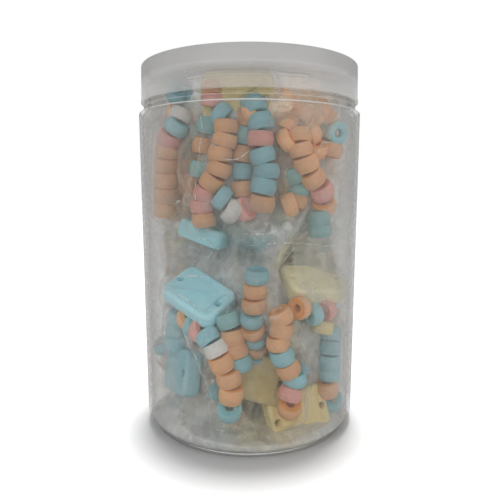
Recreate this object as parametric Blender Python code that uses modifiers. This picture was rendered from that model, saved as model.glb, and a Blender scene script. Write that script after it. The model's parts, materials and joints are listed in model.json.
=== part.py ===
"""Jar of candy watches: a clear screw-top jar heaped with sweet watches, in metres, +Z up.

The jar and its lid are turned shells. The sweets are one heap: a lumpy core with
the strands of beads and the watch faces that show fused on. The front faces -Y.
"""

import math
import random

import bmesh
import bpy
from mathutils import Matrix, Vector

MM = 0.001
ROUND_SIDES = 40

# Jar body
FOOT_INNER_RADIUS = 37.0 * MM
FOOT_RADIUS = 44.9 * MM
BASE_RADIUS = 51.8 * MM
BASE_CORNER = 6.9 * MM
BASE_HOLLOW = 2.4 * MM
BODY_TOP_RADIUS = 53.0 * MM
BODY_TOP = 150.0 * MM
SHOULDER_EDGE = 0.8 * MM
WALL = 1.2 * MM
CORNER_STEPS = 4

# Neck, hidden behind the lid but for its collar
NECK_RADIUS = 48.8 * MM
COLLAR_RADIUS = 50.7 * MM
COLLAR_BOTTOM = 153.7 * MM
COLLAR_TOP = 156.3 * MM
MOUTH = 164.2 * MM
LIP_ROUND = 0.35 * MM

# Lid, its plate sunk below a stacking rim
LID_BOTTOM = 156.9 * MM
LID_TOP = 172.7 * MM
LID_RADIUS_BOTTOM = 51.7 * MM
LID_RADIUS_TOP = 51.5 * MM
LID_SKIRT = 1.3 * MM
LID_PLATE_UNDER = 164.5 * MM
LID_PLATE = 1.6 * MM
LID_RIM = 2.6 * MM
LID_EDGE = 0.8 * MM
LID_LIP = 0.25 * MM
LID_LIP_HEIGHT = 1.2 * MM

# Screw threads of neck and lid, half a turn's rise apart
THREAD_PITCH = 4.4 * MM
THREAD_DEPTH = 0.9 * MM
THREAD_HEIGHT = 1.4 * MM
THREAD_ROOT = 0.3 * MM
NECK_THREAD_START = 157.6 * MM

# Sweets, with the wobble of a bead on its line in degrees
BEAD_RADIUS = 5.4 * MM
BEAD_END_RADIUS = 4.1 * MM
BEAD_THICKNESS = 5.4 * MM
BEAD_PITCH = 5.8 * MM
BEAD_SIDES = 8
BEAD_WOBBLE = 5.0
FACE_LENGTH = 30.0 * MM
FACE_WIDTH = 21.0 * MM
FACE_THICKNESS = 8.0 * MM
FACE_CORNER = 4.0 * MM
FACE_EDGE = 1.6 * MM

# Space that the sweets keep to inside the jar
WALL_GAP = 0.8 * MM
HEAP_TOP = 163.6 * MM

# Core of the heap
CORE_RADIUS = 40.2 * MM
CORE_LUMP = 0.8 * MM
CORE_BOTTOM = 4.6 * MM
CORE_TOP = 156.0 * MM
CORE_EDGE = 7.0 * MM
CORE_WAIST = 3.0 * MM
CORE_WAIST_HEIGHT = 87.0 * MM
CORE_WAIST_REACH = 9.0 * MM
CORE_DENT = 7.0 * MM
CORE_DENT_REACH = 12.0 * MM
CORE_RINGS = 15
CORE_SIDES = 21

# The three lists below give degrees and millimetres. Azimuth 0 is the front, +90 the right.
# Strands of the front half: azimuth, height and distance from the axis of the top bead,
# lean from the vertical at top and bottom, number of beads
FRONT_STRANDS = (
    (-47, 149.0, 42.5, -38, -12, 9),
    (-13, 147.0, 44.0, 5, -34, 9),
    (5, 148.5, 43.0, 10, -12, 8),
    (28, 145.0, 44.0, 2, 42, 8),
    (-20, 156.5, 40.6, 5, 5, 2),
    (-25, 50.5, 44.0, 52, -8, 6),
    (3, 79.0, 41.0, 4, 2, 9),
    (19, 62.0, 44.0, -18, 24, 8),
    (67, 50.0, 44.0, 4, -24, 6),
    (-62, 54.0, 42.0, 4, 4, 3),
)

# Beads that show singly: azimuth, height, distance, lean of the hole from the
# vertical, turn of the hole outward
SINGLE_BEADS = (
    (-47, 157.0, 41.0, 60, 10),
    (60, 142.0, 44.0, 20, 70),
    (60, 133.0, 44.0, 80, 20),
    (-14, 112.0, 44.0, -50, 10),
    (-8, 107.0, 44.0, -55, 20),
    (5, 94.5, 42.0, 70, 10),
    (31, 64.0, 43.0, 70, 45),
    (43, 58.0, 42.5, 75, 10),
    (55, 57.5, 42.5, 75, 5),
    (53, 51.5, 42.0, 15, 10),
    (-79, 38.0, 44.0, 65, 20),
)

# Watch faces: azimuth, height and distance of the centre, tilt of the face from
# level, the way it tilts from straight outward, spin of its long side from that way
FRONT_FACES = (
    (-37, 68.5, 37.0, 39, 50, 40),
    (60, 70.0, 38.0, 35, 20, 70),
    (-8, 155.4, 36.0, 48, 0, 90),
    (-28, 95.5, 36.0, 22, 10, 80),
    (50, 99.5, 34.5, 40, 0, 100),
    (33, 17.0, 37.0, 66, 0, 96),
    (-60, 30.0, 37.0, 70, 0, 20),
)
CLEAREST_FACES = 2

# Back half, filled like the front, in degrees and millimetres
BACK_TIERS = (146.0, 70.0)
BACK_TIER_LENGTHS = (6, 5)
BACK_STRANDS = 4
BACK_FIRST = 108
BACK_STEP = 43
BACK_STRAND_RADIUS = 43.6
BACK_FACE_HEIGHTS = (154.0, 97.0, 88.0, 18.0)
BACK_FACE_STEP = 52
BACK_FACE_RADIUS = 36.5


def clear_scene():
    for item in list(bpy.data.objects):
        bpy.data.objects.remove(item, do_unlink=True)


def new_collection(name):
    group = bpy.data.collections.new(name)
    bpy.context.scene.collection.children.link(group)
    return group


def new_material(name, colour, roughness, alpha=1.0):
    material = bpy.data.materials.new(name)
    material.use_nodes = True
    shader = material.node_tree.nodes["Principled BSDF"]
    shader.inputs["Base Color"].default_value = (*colour, 1.0)
    shader.inputs["Roughness"].default_value = roughness
    shader.inputs["Metallic"].default_value = 0.0
    shader.inputs["Alpha"].default_value = alpha
    material.diffuse_color = (*colour, alpha)
    return material


def add_object(name, mesh, group, material=None):
    thing = bpy.data.objects.new(name, mesh)
    group.objects.link(thing)
    if material:
        mesh.materials.append(material)
    return thing


def mesh_from(bm, name):
    mesh = bpy.data.meshes.new(name)
    bm.to_mesh(mesh)
    bm.free()
    return mesh


def shade(thing):
    """Smooth shading with the real edges kept sharp."""
    thing.data.shade_smooth()
    thing.data.set_sharp_from_angle(angle=math.radians(35))


def arc(centre_x, centre_z, radius, start, end, steps):
    """Points of an arc in the XZ plane, angles in degrees from +X."""
    points = []
    for step in range(steps + 1):
        angle = math.radians(start + (end - start) * step / steps)
        points.append((centre_x + radius * math.cos(angle), centre_z + radius * math.sin(angle)))
    return points


def turned(name, profile, group, material):
    """A profile of (radius, height) turned about Z, its outer side running down."""
    bm = bmesh.new()
    corners = [bm.verts.new((x, 0.0, z)) for x, z in profile]
    for first, second in zip(corners, corners[1:]):
        bm.edges.new((first, second))
    thing = add_object(name, mesh_from(bm, name), group, material)
    screw = thing.modifiers.new("Turn", "SCREW")
    screw.steps = ROUND_SIDES
    screw.render_steps = ROUND_SIDES
    screw.use_merge_vertices = True
    screw.merge_threshold = 0.00001
    return thing


def applied(thing):
    """Replaces the object's mesh by its evaluated one and drops the modifiers."""
    bpy.context.view_layer.update()
    graph = bpy.context.evaluated_depsgraph_get()
    mesh = bpy.data.meshes.new_from_object(thing.evaluated_get(graph))
    thing.modifiers.clear()
    thing.data = mesh
    mesh.name = thing.name
    return thing


def body_radius(height):
    """Outer radius of the jar's tapering wall."""
    share = (height - BASE_CORNER) / (BODY_TOP - BASE_CORNER)
    return BASE_RADIUS + (BODY_TOP_RADIUS - BASE_RADIUS) * share


def jar_outside():
    """Outer profile from the mouth down to the axis."""
    shoulder = BODY_TOP_RADIUS - SHOULDER_EDGE
    points = arc(NECK_RADIUS - LIP_ROUND, MOUTH - LIP_ROUND, LIP_ROUND, 90, 0, 2)
    points += [(NECK_RADIUS, COLLAR_TOP), (COLLAR_RADIUS, COLLAR_TOP)]
    points += [(COLLAR_RADIUS, COLLAR_BOTTOM)]
    points += [(shoulder, BODY_TOP + SHOULDER_EDGE), (BODY_TOP_RADIUS, BODY_TOP)]
    points += arc(FOOT_RADIUS, BASE_CORNER, BASE_CORNER, 0, -90, CORNER_STEPS)
    points += [(FOOT_INNER_RADIUS, 0.0), (FOOT_INNER_RADIUS - 3 * MM, BASE_HOLLOW)]
    points += [(0.0, BASE_HOLLOW)]
    return points


def jar_inside():
    """Inner profile from the axis up to the mouth."""
    corner = BASE_CORNER - WALL
    points = [(0.0, BASE_HOLLOW + WALL), (FOOT_INNER_RADIUS - 3 * MM, BASE_HOLLOW + WALL)]
    points += [(FOOT_INNER_RADIUS + 0.6 * MM, WALL)]
    points += arc(FOOT_RADIUS, BASE_CORNER, corner, -90, 0, CORNER_STEPS)
    points += [(BODY_TOP_RADIUS - WALL, BODY_TOP - 0.3 * MM)]
    points += [(NECK_RADIUS - WALL, COLLAR_BOTTOM - 0.4 * MM)]
    points += arc(NECK_RADIUS - WALL + LIP_ROUND, MOUTH - LIP_ROUND, LIP_ROUND, 180, 90, 2)
    return points


def thread(name, radius, start, depth, group):
    """A helical ridge of one turn; a negative depth points it inward."""
    bm = bmesh.new()
    root = -THREAD_ROOT if depth > 0 else THREAD_ROOT
    half = THREAD_HEIGHT / 2
    outline = [
        (radius + root, start + half),
        (radius + depth, start + half / 2),
        (radius + depth, start - half / 2),
        (radius + root, start - half),
    ]
    if depth < 0:
        outline.reverse()
    ring_before = None
    for step in range(ROUND_SIDES + 1):
        angle = 2 * math.pi * step / ROUND_SIDES
        rise = THREAD_PITCH * step / ROUND_SIDES
        ring = []
        for x, z in outline:
            ring.append(bm.verts.new((x * math.cos(angle), x * math.sin(angle), z + rise)))
        if ring_before is None:
            bm.faces.new(reversed(ring))
        else:
            for a in range(4):
                b = (a + 1) % 4
                bm.faces.new((ring_before[a], ring_before[b], ring[b], ring[a]))
        ring_before = ring
    bm.faces.new(ring_before)
    bmesh.ops.recalc_face_normals(bm, faces=bm.faces)
    return add_object(name, mesh_from(bm, name), group)


def fuse(thing, pieces, solver):
    """One union of the object with a collection of pieces, which then goes."""
    union = thing.modifiers.new("Fuse", "BOOLEAN")
    union.operation = "UNION"
    union.operand_type = "COLLECTION"
    union.collection = pieces
    union.solver = solver
    applied(thing)
    for piece in list(pieces.objects):
        bpy.data.objects.remove(piece, do_unlink=True)
    bpy.data.collections.remove(pieces)
    return thing


def make_jar(group):
    clear = new_material("clear_plastic", (0.62, 0.62, 0.60), 0.18, 0.35)
    jar = turned("jar", jar_inside() + jar_outside(), group, clear)
    ridges = new_collection("neck_thread")
    thread("neck_ridge", NECK_RADIUS, NECK_THREAD_START, THREAD_DEPTH, ridges)
    fuse(jar, ridges, "MANIFOLD")
    shade(jar)
    return jar


def lid_profile():
    """From the axis out along the plate's underside, down the skirt and back over."""
    skirt_inner = LID_RADIUS_BOTTOM - LID_SKIRT
    plate_top = LID_PLATE_UNDER + LID_PLATE
    rim_inner = LID_RADIUS_TOP - LID_RIM
    inside = [
        (0.0, plate_top),
        (rim_inner - LID_EDGE, plate_top),
        (rim_inner, plate_top + LID_EDGE),
        (rim_inner, LID_TOP - LID_EDGE),
    ]
    top = arc(rim_inner + LID_EDGE, LID_TOP - LID_EDGE, LID_EDGE, 180, 90, 1)[1:]
    top += arc(LID_RADIUS_TOP - LID_EDGE, LID_TOP - LID_EDGE, LID_EDGE, 90, 0, 2)
    lip_top = LID_BOTTOM + LID_LIP_HEIGHT
    skirt = [
        (LID_RADIUS_BOTTOM, lip_top + LID_LIP_HEIGHT),
        (LID_RADIUS_BOTTOM + LID_LIP, lip_top),
        (LID_RADIUS_BOTTOM + LID_LIP, LID_BOTTOM + LID_LIP),
        (LID_RADIUS_BOTTOM - LID_LIP, LID_BOTTOM),
        (skirt_inner, LID_BOTTOM),
        (skirt_inner, LID_PLATE_UNDER),
        (0.0, LID_PLATE_UNDER),
    ]
    return inside + top + skirt


def make_lid(group):
    frosted = new_material("frosted_plastic", (0.66, 0.66, 0.64), 0.32, 0.5)
    lid = turned("lid", lid_profile(), group, frosted)
    ridges = new_collection("lid_thread")
    start = NECK_THREAD_START + THREAD_PITCH / 2 - 0.3 * MM
    inner = LID_RADIUS_BOTTOM - LID_SKIRT
    thread("lid_ridge", inner, start, -THREAD_DEPTH, ridges)
    fuse(lid, ridges, "MANIFOLD")
    shade(lid)
    return lid


def outward(azimuth):
    """Unit vector away from the axis; azimuth 0 is the front, +90 the right."""
    angle = math.radians(azimuth)
    return Vector((math.sin(angle), -math.cos(angle), 0.0))


def sideways(azimuth):
    angle = math.radians(azimuth)
    return Vector((math.cos(angle), math.sin(angle), 0.0))


def place_on(azimuth, height, distance):
    """A point of the heap, from millimetres."""
    return outward(azimuth) * distance * MM + Vector((0.0, 0.0, height * MM))


def azimuth_of(point):
    return math.degrees(math.atan2(point.x, -point.y))


def frame_along(axis, out):
    """Rotation that takes +Z to the axis and keeps +X as near the second as it can."""
    z_axis = axis.normalized()
    x_axis = (out - z_axis * out.dot(z_axis)).normalized()
    y_axis = z_axis.cross(x_axis)
    return Matrix((x_axis, y_axis, z_axis)).transposed().to_4x4()


def room_at(height):
    """Largest radius that the sweets may reach at this height."""
    if height > BODY_TOP - 4 * MM:
        return NECK_RADIUS - WALL - WALL_GAP
    return body_radius(height) - WALL - WALL_GAP


def settle_inside(bm):
    """Moves a piece inward and down until it is clear of the wall and the lid."""
    for _ in range(4):
        outermost = max(bm.verts, key=lambda corner: corner.co.xy.length - room_at(corner.co.z))
        excess = outermost.co.xy.length - room_at(outermost.co.z)
        if excess > 0:
            inward = -outermost.co.xy.normalized() * excess
            bmesh.ops.translate(bm, vec=(*inward, 0.0), verts=bm.verts)
    rise = max(corner.co.z for corner in bm.verts) - HEAP_TOP
    if rise > 0:
        bmesh.ops.translate(bm, vec=(0.0, 0.0, -rise), verts=bm.verts)


def add_bead(pieces, centre, axis, out):
    """A pressed sweet: flat ends and a barrelled edge."""
    bm = bmesh.new()
    bmesh.ops.create_cone(
        bm,
        cap_ends=True,
        segments=BEAD_SIDES,
        radius1=BEAD_END_RADIUS,
        radius2=BEAD_END_RADIUS,
        depth=BEAD_THICKNESS,
    )
    upright = [edge for edge in bm.edges if abs(edge.verts[0].co.z - edge.verts[1].co.z) > MM]
    bmesh.ops.subdivide_edges(bm, edges=upright, cuts=1)
    for corner in bm.verts:
        if abs(corner.co.z) < 0.1 * MM:
            corner.co.xy *= BEAD_RADIUS / BEAD_END_RADIUS
    bm.transform(Matrix.Translation(centre) @ frame_along(axis, out))
    settle_inside(bm)
    return add_object("bead", mesh_from(bm, "bead"), pieces)


def add_strand(pieces, strand, draw):
    """Beads threaded on one line that leans and bends round the jar."""
    azimuth, height, distance, lean_top, lean_bottom, count = strand
    point = place_on(azimuth, height, distance)
    for number in range(count):
        share = number / max(count - 1, 1)
        lean = math.radians(lean_top + (lean_bottom - lean_top) * share)
        here = azimuth_of(point)
        along = Vector((0.0, 0.0, -math.cos(lean))) + sideways(here) * math.sin(lean)
        wobble = math.radians(draw.uniform(-BEAD_WOBBLE, BEAD_WOBBLE))
        axis = Matrix.Rotation(wobble, 3, outward(here)) @ along
        add_bead(pieces, point, axis, outward(here))
        following = point + along * BEAD_PITCH
        point = place_on(azimuth_of(following), following.z / MM, distance)


def add_single_bead(pieces, bead):
    azimuth, height, distance, lean, turn = bead
    tilt = math.radians(lean)
    flat = Vector((0.0, 0.0, math.cos(tilt))) + sideways(azimuth) * math.sin(tilt)
    turned_out = math.radians(turn)
    axis = flat * math.cos(turned_out) + outward(azimuth) * math.sin(turned_out)
    add_bead(pieces, place_on(azimuth, height, distance), axis, outward(azimuth))


def add_face(pieces, face):
    """A watch face: a thick rounded oblong with its edges taken off."""
    azimuth, height, distance, tilt, way, spin = face
    bm = bmesh.new()
    bmesh.ops.create_cube(bm, size=1.0)
    bmesh.ops.scale(bm, vec=(FACE_LENGTH, FACE_WIDTH, FACE_THICKNESS), verts=bm.verts)
    upright = [edge for edge in bm.edges if abs(edge.verts[0].co.z - edge.verts[1].co.z) > MM]
    bmesh.ops.bevel(
        bm,
        geom=upright,
        offset=FACE_CORNER,
        segments=2,
        profile=0.5,
        affect="EDGES",
    )
    rims = [edge for edge in bm.edges if abs(edge.verts[0].co.z - edge.verts[1].co.z) < 0.1 * MM]
    bmesh.ops.bevel(bm, geom=rims, offset=FACE_EDGE, segments=1, affect="EDGES")
    towards = outward(azimuth + way)
    normal = Vector((0.0, 0.0, math.cos(math.radians(tilt))))
    normal += towards * math.sin(math.radians(tilt))
    turn = frame_along(normal, towards)
    spun = Matrix.Rotation(math.radians(spin), 4, "Z")
    bm.transform(Matrix.Translation(place_on(azimuth, height, distance)) @ turn @ spun)
    settle_inside(bm)
    return add_object("face", mesh_from(bm, "face"), pieces)


def add_back(pieces, draw):
    """Strands and faces round the side that the photo hides."""
    for tier, top in enumerate(BACK_TIERS):
        for number in range(BACK_STRANDS):
            azimuth = BACK_FIRST + BACK_STEP * (number + 0.4 * tier) + draw.uniform(-4, 4)
            height = top + draw.uniform(-4, 1)
            leans = (draw.uniform(-25, 25), draw.uniform(-25, 25))
            count = BACK_TIER_LENGTHS[tier]
            strand = (azimuth, height, BACK_STRAND_RADIUS, *leans, count)
            add_strand(pieces, strand, draw)
    for number, height in enumerate(BACK_FACE_HEIGHTS):
        azimuth = BACK_FIRST + BACK_FACE_STEP * number
        tilt, spin = draw.uniform(35, 60), draw.uniform(70, 110)
        face = (azimuth, height, BACK_FACE_RADIUS, tilt, 0, spin)
        add_face(pieces, face)


def dent_at(point):
    """Depth by which the core gives way behind the faces that show best."""
    depth = 0.0
    for azimuth, height, *_ in FRONT_FACES[:CLEAREST_FACES]:
        away = (point - place_on(azimuth, height, CORE_RADIUS / MM)).length / CORE_DENT_REACH
        depth = max(depth, CORE_DENT * math.exp(-(away**2)))
    return depth


def core_radius(azimuth, height):
    """Uneven outline of the heap behind the strands."""
    waves = math.sin(3 * azimuth + height / (9 * MM)) + math.sin(5 * azimuth - height / (6 * MM))
    from_waist = (height - CORE_WAIST_HEIGHT) / CORE_WAIST_REACH
    radius = CORE_RADIUS + CORE_LUMP * waves / 2 - CORE_WAIST * math.exp(-(from_waist**2))
    point = Vector((radius * math.cos(azimuth), radius * math.sin(azimuth), height))
    return radius - dent_at(point)


def make_core(group, material):
    """A lumpy column with rounded ends."""
    bm = bmesh.new()
    bmesh.ops.create_cone(
        bm,
        cap_ends=True,
        segments=CORE_SIDES,
        radius1=1.0,
        radius2=1.0,
        depth=1.0,
    )
    upright = [edge for edge in bm.edges if abs(edge.verts[0].co.z - edge.verts[1].co.z) > 0.5]
    bmesh.ops.subdivide_edges(bm, edges=upright, cuts=CORE_RINGS)
    for corner in bm.verts:
        share = corner.co.z + 0.5
        height = CORE_BOTTOM + (CORE_TOP - CORE_BOTTOM) * share
        azimuth = math.atan2(corner.co.y, corner.co.x)
        radius = core_radius(azimuth, height)
        nearest_end = min(height - CORE_BOTTOM, CORE_TOP - height)
        radius -= CORE_EDGE * max(0.0, 1.0 - nearest_end / CORE_EDGE) ** 2
        corner.co = (radius * math.cos(azimuth), radius * math.sin(azimuth), height)
    return add_object("candy_watch_heap", mesh_from(bm, "candy_watch_heap"), group, material)


def make_heap(group):
    sweet = new_material("pressed_sweets", (0.86, 0.52, 0.36), 0.75)
    draw = random.Random(12)
    heap = make_core(group, sweet)
    pieces = new_collection("fused_sweets")
    for strand in FRONT_STRANDS:
        add_strand(pieces, strand, draw)
    for bead in SINGLE_BEADS:
        add_single_bead(pieces, bead)
    for face in FRONT_FACES:
        add_face(pieces, face)
    add_back(pieces, draw)
    fuse(heap, pieces, "MANIFOLD")
    shade(heap)
    return heap


def main():
    clear_scene()
    group = new_collection("jar_of_candy_watches")
    make_jar(group)
    make_lid(group)
    make_heap(group)


main()
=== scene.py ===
import json
import math
import random

import bmesh
import bpy
from mathutils import Matrix, Vector, noise
from mathutils.bvhtree import BVHTree
from mathutils.kdtree import KDTree

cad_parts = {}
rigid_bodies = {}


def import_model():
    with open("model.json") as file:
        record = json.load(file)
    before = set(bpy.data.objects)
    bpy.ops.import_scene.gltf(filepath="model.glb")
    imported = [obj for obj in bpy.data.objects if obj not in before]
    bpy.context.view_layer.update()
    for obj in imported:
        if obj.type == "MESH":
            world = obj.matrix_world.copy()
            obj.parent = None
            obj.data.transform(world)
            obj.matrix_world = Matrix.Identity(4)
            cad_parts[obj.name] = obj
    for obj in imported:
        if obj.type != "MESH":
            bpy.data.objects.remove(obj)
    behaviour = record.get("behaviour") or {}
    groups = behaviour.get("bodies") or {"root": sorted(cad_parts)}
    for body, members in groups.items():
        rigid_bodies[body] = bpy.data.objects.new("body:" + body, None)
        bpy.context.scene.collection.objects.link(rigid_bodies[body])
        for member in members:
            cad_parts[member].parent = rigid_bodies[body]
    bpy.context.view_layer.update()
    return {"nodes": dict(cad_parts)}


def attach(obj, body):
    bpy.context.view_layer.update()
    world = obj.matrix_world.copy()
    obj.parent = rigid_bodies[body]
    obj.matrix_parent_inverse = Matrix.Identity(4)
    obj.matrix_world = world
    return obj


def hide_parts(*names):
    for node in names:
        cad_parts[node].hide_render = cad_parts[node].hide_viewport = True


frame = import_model()
mm = 0.001  # sizes below are in mm, and a scene's own are in metres
print("frame loaded:", sorted(frame["nodes"]))


# general helpers: objects, meshes and shader nodes

def addObject(name, mesh, material=None):
    thing = bpy.data.objects.new(name, mesh)
    bpy.context.scene.collection.objects.link(thing)
    if material:
        mesh.materials.append(material)
    return thing


def meshFromBm(bm, name):
    mesh = bpy.data.meshes.new(name)
    bm.to_mesh(mesh)
    bm.free()
    return mesh


def shadeSoftly(thing, angle):
    thing.data.shade_smooth()
    thing.data.set_sharp_from_angle(angle=math.radians(angle))


def addMarks(mesh, marks):
    # keeps one number for each corner of the mesh, for its material to read
    for key, values in marks.items():
        mesh.attributes.new(key, "FLOAT", "POINT").data.foreach_set("value", values)


def applyModifiers(thing):
    bpy.context.view_layer.update()
    graph = bpy.context.evaluated_depsgraph_get()
    mesh = bpy.data.meshes.new_from_object(thing.evaluated_get(graph))
    thing.modifiers.clear()
    thing.data = mesh
    mesh.name = thing.name
    return thing


def fuseOrCut(thing, helpers, operation):
    group = bpy.data.collections.new("helpers")
    bpy.context.scene.collection.children.link(group)
    for helper in helpers:
        group.objects.link(helper)
    change = thing.modifiers.new("Change", "BOOLEAN")
    change.operation = operation
    change.operand_type = "COLLECTION"
    change.collection = group
    change.solver = "MANIFOLD"
    applyModifiers(thing)
    for helper in helpers:
        bpy.data.objects.remove(helper, do_unlink=True)
    bpy.data.collections.remove(group)
    return thing


def newMaterial(name):
    material = bpy.data.materials.new(name)
    material.use_nodes = True
    tree = material.node_tree
    return material, tree, tree.nodes["Principled BSDF"]


def feed(tree, node, values):
    # sets each named input, or links it where the value is another node's output
    for key, value in values.items():
        socket = node.inputs[key]
        if isinstance(value, bpy.types.NodeSocket):
            tree.links.new(value, socket)
        elif socket.type == "RGBA":
            socket.default_value = (*value, 1.0)
        else:
            socket.default_value = value


def addNode(tree, kind, place, values=None, **settings):
    node = tree.nodes.new("ShaderNode" + kind)
    node.location = place
    for key, value in settings.items():
        setattr(node, key, value)
    feed(tree, node, values or {})
    return node


def objectCoords(tree, place):
    return addNode(tree, "TexCoord", place).outputs["Object"]


def noiseNode(tree, coords, place, scale, detail=3.0, roughness=0.55):
    values = {"Vector": coords, "Scale": scale, "Detail": detail, "Roughness": roughness}
    return addNode(tree, "TexNoise", place, values).outputs["Fac"]


def rampNode(tree, factor, place, stops):
    node = addNode(tree, "ValToRGB", place, {"Fac": factor})
    points = node.color_ramp.elements
    while len(points) < len(stops):
        points.new(0.5)
    for point, (position, colour) in zip(points, stops):
        point.position = position
        point.color = (*colour, 1.0)
    return node.outputs["Color"]


def mathNode(tree, operation, place, *values):
    return addNode(tree, "Math", place, dict(enumerate(values)), operation=operation).outputs[0]


def mixNode(tree, place, factor, first, second, blend="MIX"):
    values = {0: factor, 6: first, 7: second}
    return addNode(tree, "Mix", place, values, data_type="RGBA", blend_type=blend).outputs[2]


def rangeNode(tree, value, place, low, high, lowTo=0.0, highTo=1.0):
    values = {"Value": value, "From Min": low, "From Max": high, "To Min": lowTo, "To Max": highTo}
    return addNode(tree, "MapRange", place, values).outputs["Result"]


def attributeNode(tree, name, place):
    return addNode(tree, "Attribute", place, attribute_name=name).outputs["Fac"]


def bumpNode(tree, place, height, strength, distance, before=None):
    values = {"Height": height, "Strength": strength, "Distance": distance}
    if before:
        values["Normal"] = before
    return addNode(tree, "Bump", place, values).outputs["Normal"]


def shaded(colour, amount):
    return tuple(min(1.0, part * amount) for part in colour)


def grey(value):
    return (value, value, value)


# places on and in the jar: azimuth 0 is the front, +90 the right, lengths in mm

def outward(azimuth):
    angle = math.radians(azimuth)
    return Vector((math.sin(angle), -math.cos(angle), 0.0))


def sideways(azimuth):
    angle = math.radians(azimuth)
    return Vector((math.cos(angle), math.sin(angle), 0.0))


def placeOn(azimuth, height, distance):
    return outward(azimuth) * distance * mm + Vector((0.0, 0.0, height * mm))


def azimuthOf(point):
    return math.degrees(math.atan2(point.x, -point.y))


def frameAlong(axis, out):
    zAxis = axis.normalized()
    xAxis = (out - zAxis * out.dot(zAxis)).normalized()
    yAxis = zAxis.cross(xAxis)
    return Matrix((xAxis, yAxis, zAxis)).transposed().to_4x4()


def smoothStep(low, high, value):
    share = min(1.0, max(0.0, (value - low) / (high - low)))
    return share * share * (3.0 - 2.0 * share)


def blendTo(first, second, share):
    return first + (second - first) * share


def turnsOf(sides):
    return [2 * math.pi * side / sides for side in range(sides)]


def ringSpot(radius, angle, height):
    # a point of a turned shape, from mm to metres
    return (radius * mm * math.cos(angle), radius * mm * math.sin(angle), height * mm)


def smoothCurve(stops, steps):
    # a smooth curve of points that runs through every stop
    padded = [stops[0] * 2 - stops[1]] + stops + [stops[-1] * 2 - stops[-2]]
    points = []
    for a, b, c, d in zip(padded, padded[1:], padded[2:], padded[3:]):
        for step in range(steps):
            t = step / steps
            mixed = 0.5 * (2 * b + (c - a) * t + (2 * a - 5 * b + 4 * c - d) * t * t)
            points.append(mixed + 0.5 * (3 * b - a - 3 * c + d) * t * t * t)
    return points + [stops[-1]]


# floor, studio and camera

studio = {
    "floorSize": 8.0,  # metres
    "floorColour": (0.7, 0.7, 0.7),
    "floorBounce": 0.5,  # how much of the floor's paleness reaches the jar
    "backdropLight": 1.0,  # what the camera sees behind the jar
    "roomLight": 0.42,  # soft light from all round
    "floorSun": 3.8,
    "floorSunSoftness": 10.0,
    "floorSunTilt": (5.8, 0.6),  # degrees back and sideways
    "keyPower": 2.4,
    "keyPlace": (-0.35, -0.8, 0.62),
    "keySize": 0.7,
    "fillPower": 1.4,
    "fillPlace": (0.8, -0.55, 0.38),
    "fillSize": 0.8,
    "topPower": 1.1,
    "topPlace": (0.1, 0.35, 1.0),
    "topSize": 0.8,
    "aim": (0.0, 0.0, 0.09),  # what the lamps point at
}

cameraView = {
    "place": (0.0, -0.2574, 0.1169),
    "tiltDown": 7.03,  # degrees
    "lens": 36.9,
    "shiftX": 0.0010,
}


def makeFloor():
    bm = bmesh.new()
    bmesh.ops.create_grid(bm, x_segments=4, y_segments=4, size=studio["floorSize"] / 2)
    floor = addObject("studioFloor", meshFromBm(bm, "studioFloor"))
    material, tree, shader = newMaterial("paleFloor")
    grain = noiseNode(tree, objectCoords(tree, (-900, 0)), (-700, 0), 30.0)
    colour = studio["floorColour"]
    stops = [(0.3, shaded(colour, 0.99)), (0.7, shaded(colour, 1.01))]
    paint = rampNode(tree, grain, (-500, 0), stops)
    seen = addNode(tree, "LightPath", (-500, 300)).outputs["Is Camera Ray"]
    paint = mixNode(tree, (-250, 100), seen, shaded(colour, studio["floorBounce"]), paint)
    feed(tree, shader, {"Base Color": paint, "Roughness": 0.9, "Specular IOR Level": 0.1})
    floor.data.materials.append(material)
    return floor


def makeWorld():
    world = bpy.data.worlds.new("studioRoom")
    bpy.context.scene.world = world
    world.use_nodes = True
    tree = world.node_tree
    tree.nodes.clear()
    white = grey(1.0)
    seen = addNode(tree, "LightPath", (-600, 200)).outputs["Is Camera Ray"]
    room = addNode(tree, "Background", (-300, -100), {"Color": white, "Strength": studio["roomLight"]})
    values = {"Color": white, "Strength": studio["backdropLight"]}
    backdrop = addNode(tree, "Background", (-300, 100), values)
    mix = addNode(tree, "MixShader", (0, 0), {0: seen, 1: room.outputs[0], 2: backdrop.outputs[0]})
    addNode(tree, "OutputWorld", (200, 0), {"Surface": mix.outputs[0]})


def addSoftLight(name):
    light = bpy.data.lights.new(name + "Light", "AREA")
    light.energy = studio[name + "Power"]
    light.shape = "DISK"
    light.size = studio[name + "Size"]
    thing = addObject(light.name, light)
    thing.location = studio[name + "Place"]
    aim = Vector(studio["aim"]) - Vector(studio[name + "Place"])
    thing.rotation_euler = aim.to_track_quat("-Z", "Y").to_euler()


def lightFloor(floor):
    # a soft sun for the floor alone, from a little behind, so the jar stands in its own shadow
    sun = bpy.data.lights.new("floorSun", "SUN")
    sun.energy = studio["floorSun"]
    sun.angle = math.radians(studio["floorSunSoftness"])
    thing = addObject("floorSun", sun)
    back, side = studio["floorSunTilt"]
    thing.rotation_euler = (math.radians(-back), math.radians(side), 0.0)
    lit = bpy.data.collections.new("litBySun")
    lit.objects.link(floor)
    thing.light_linking.receiver_collection = lit


def makeStudio():
    floor = makeFloor()
    lightFloor(floor)
    makeWorld()
    for name in ("key", "fill", "top"):
        addSoftLight(name)
    scene = bpy.context.scene
    scene.view_settings.view_transform = "Standard"
    scene.cycles.transparent_max_bounces = 48
    print("studio set")


def makeCamera():
    camera = bpy.data.cameras.new("photoView")
    camera.lens = cameraView["lens"]
    camera.sensor_width = 36.0
    camera.shift_x = cameraView["shiftX"]
    camera.clip_start = 0.01
    thing = addObject("photoView", camera)
    thing.location = cameraView["place"]
    thing.rotation_euler = (math.radians(90.0 - cameraView["tiltDown"]), 0.0, 0.0)
    bpy.context.scene.camera = thing
    print("camera set")


makeStudio()
makeCamera()


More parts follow.
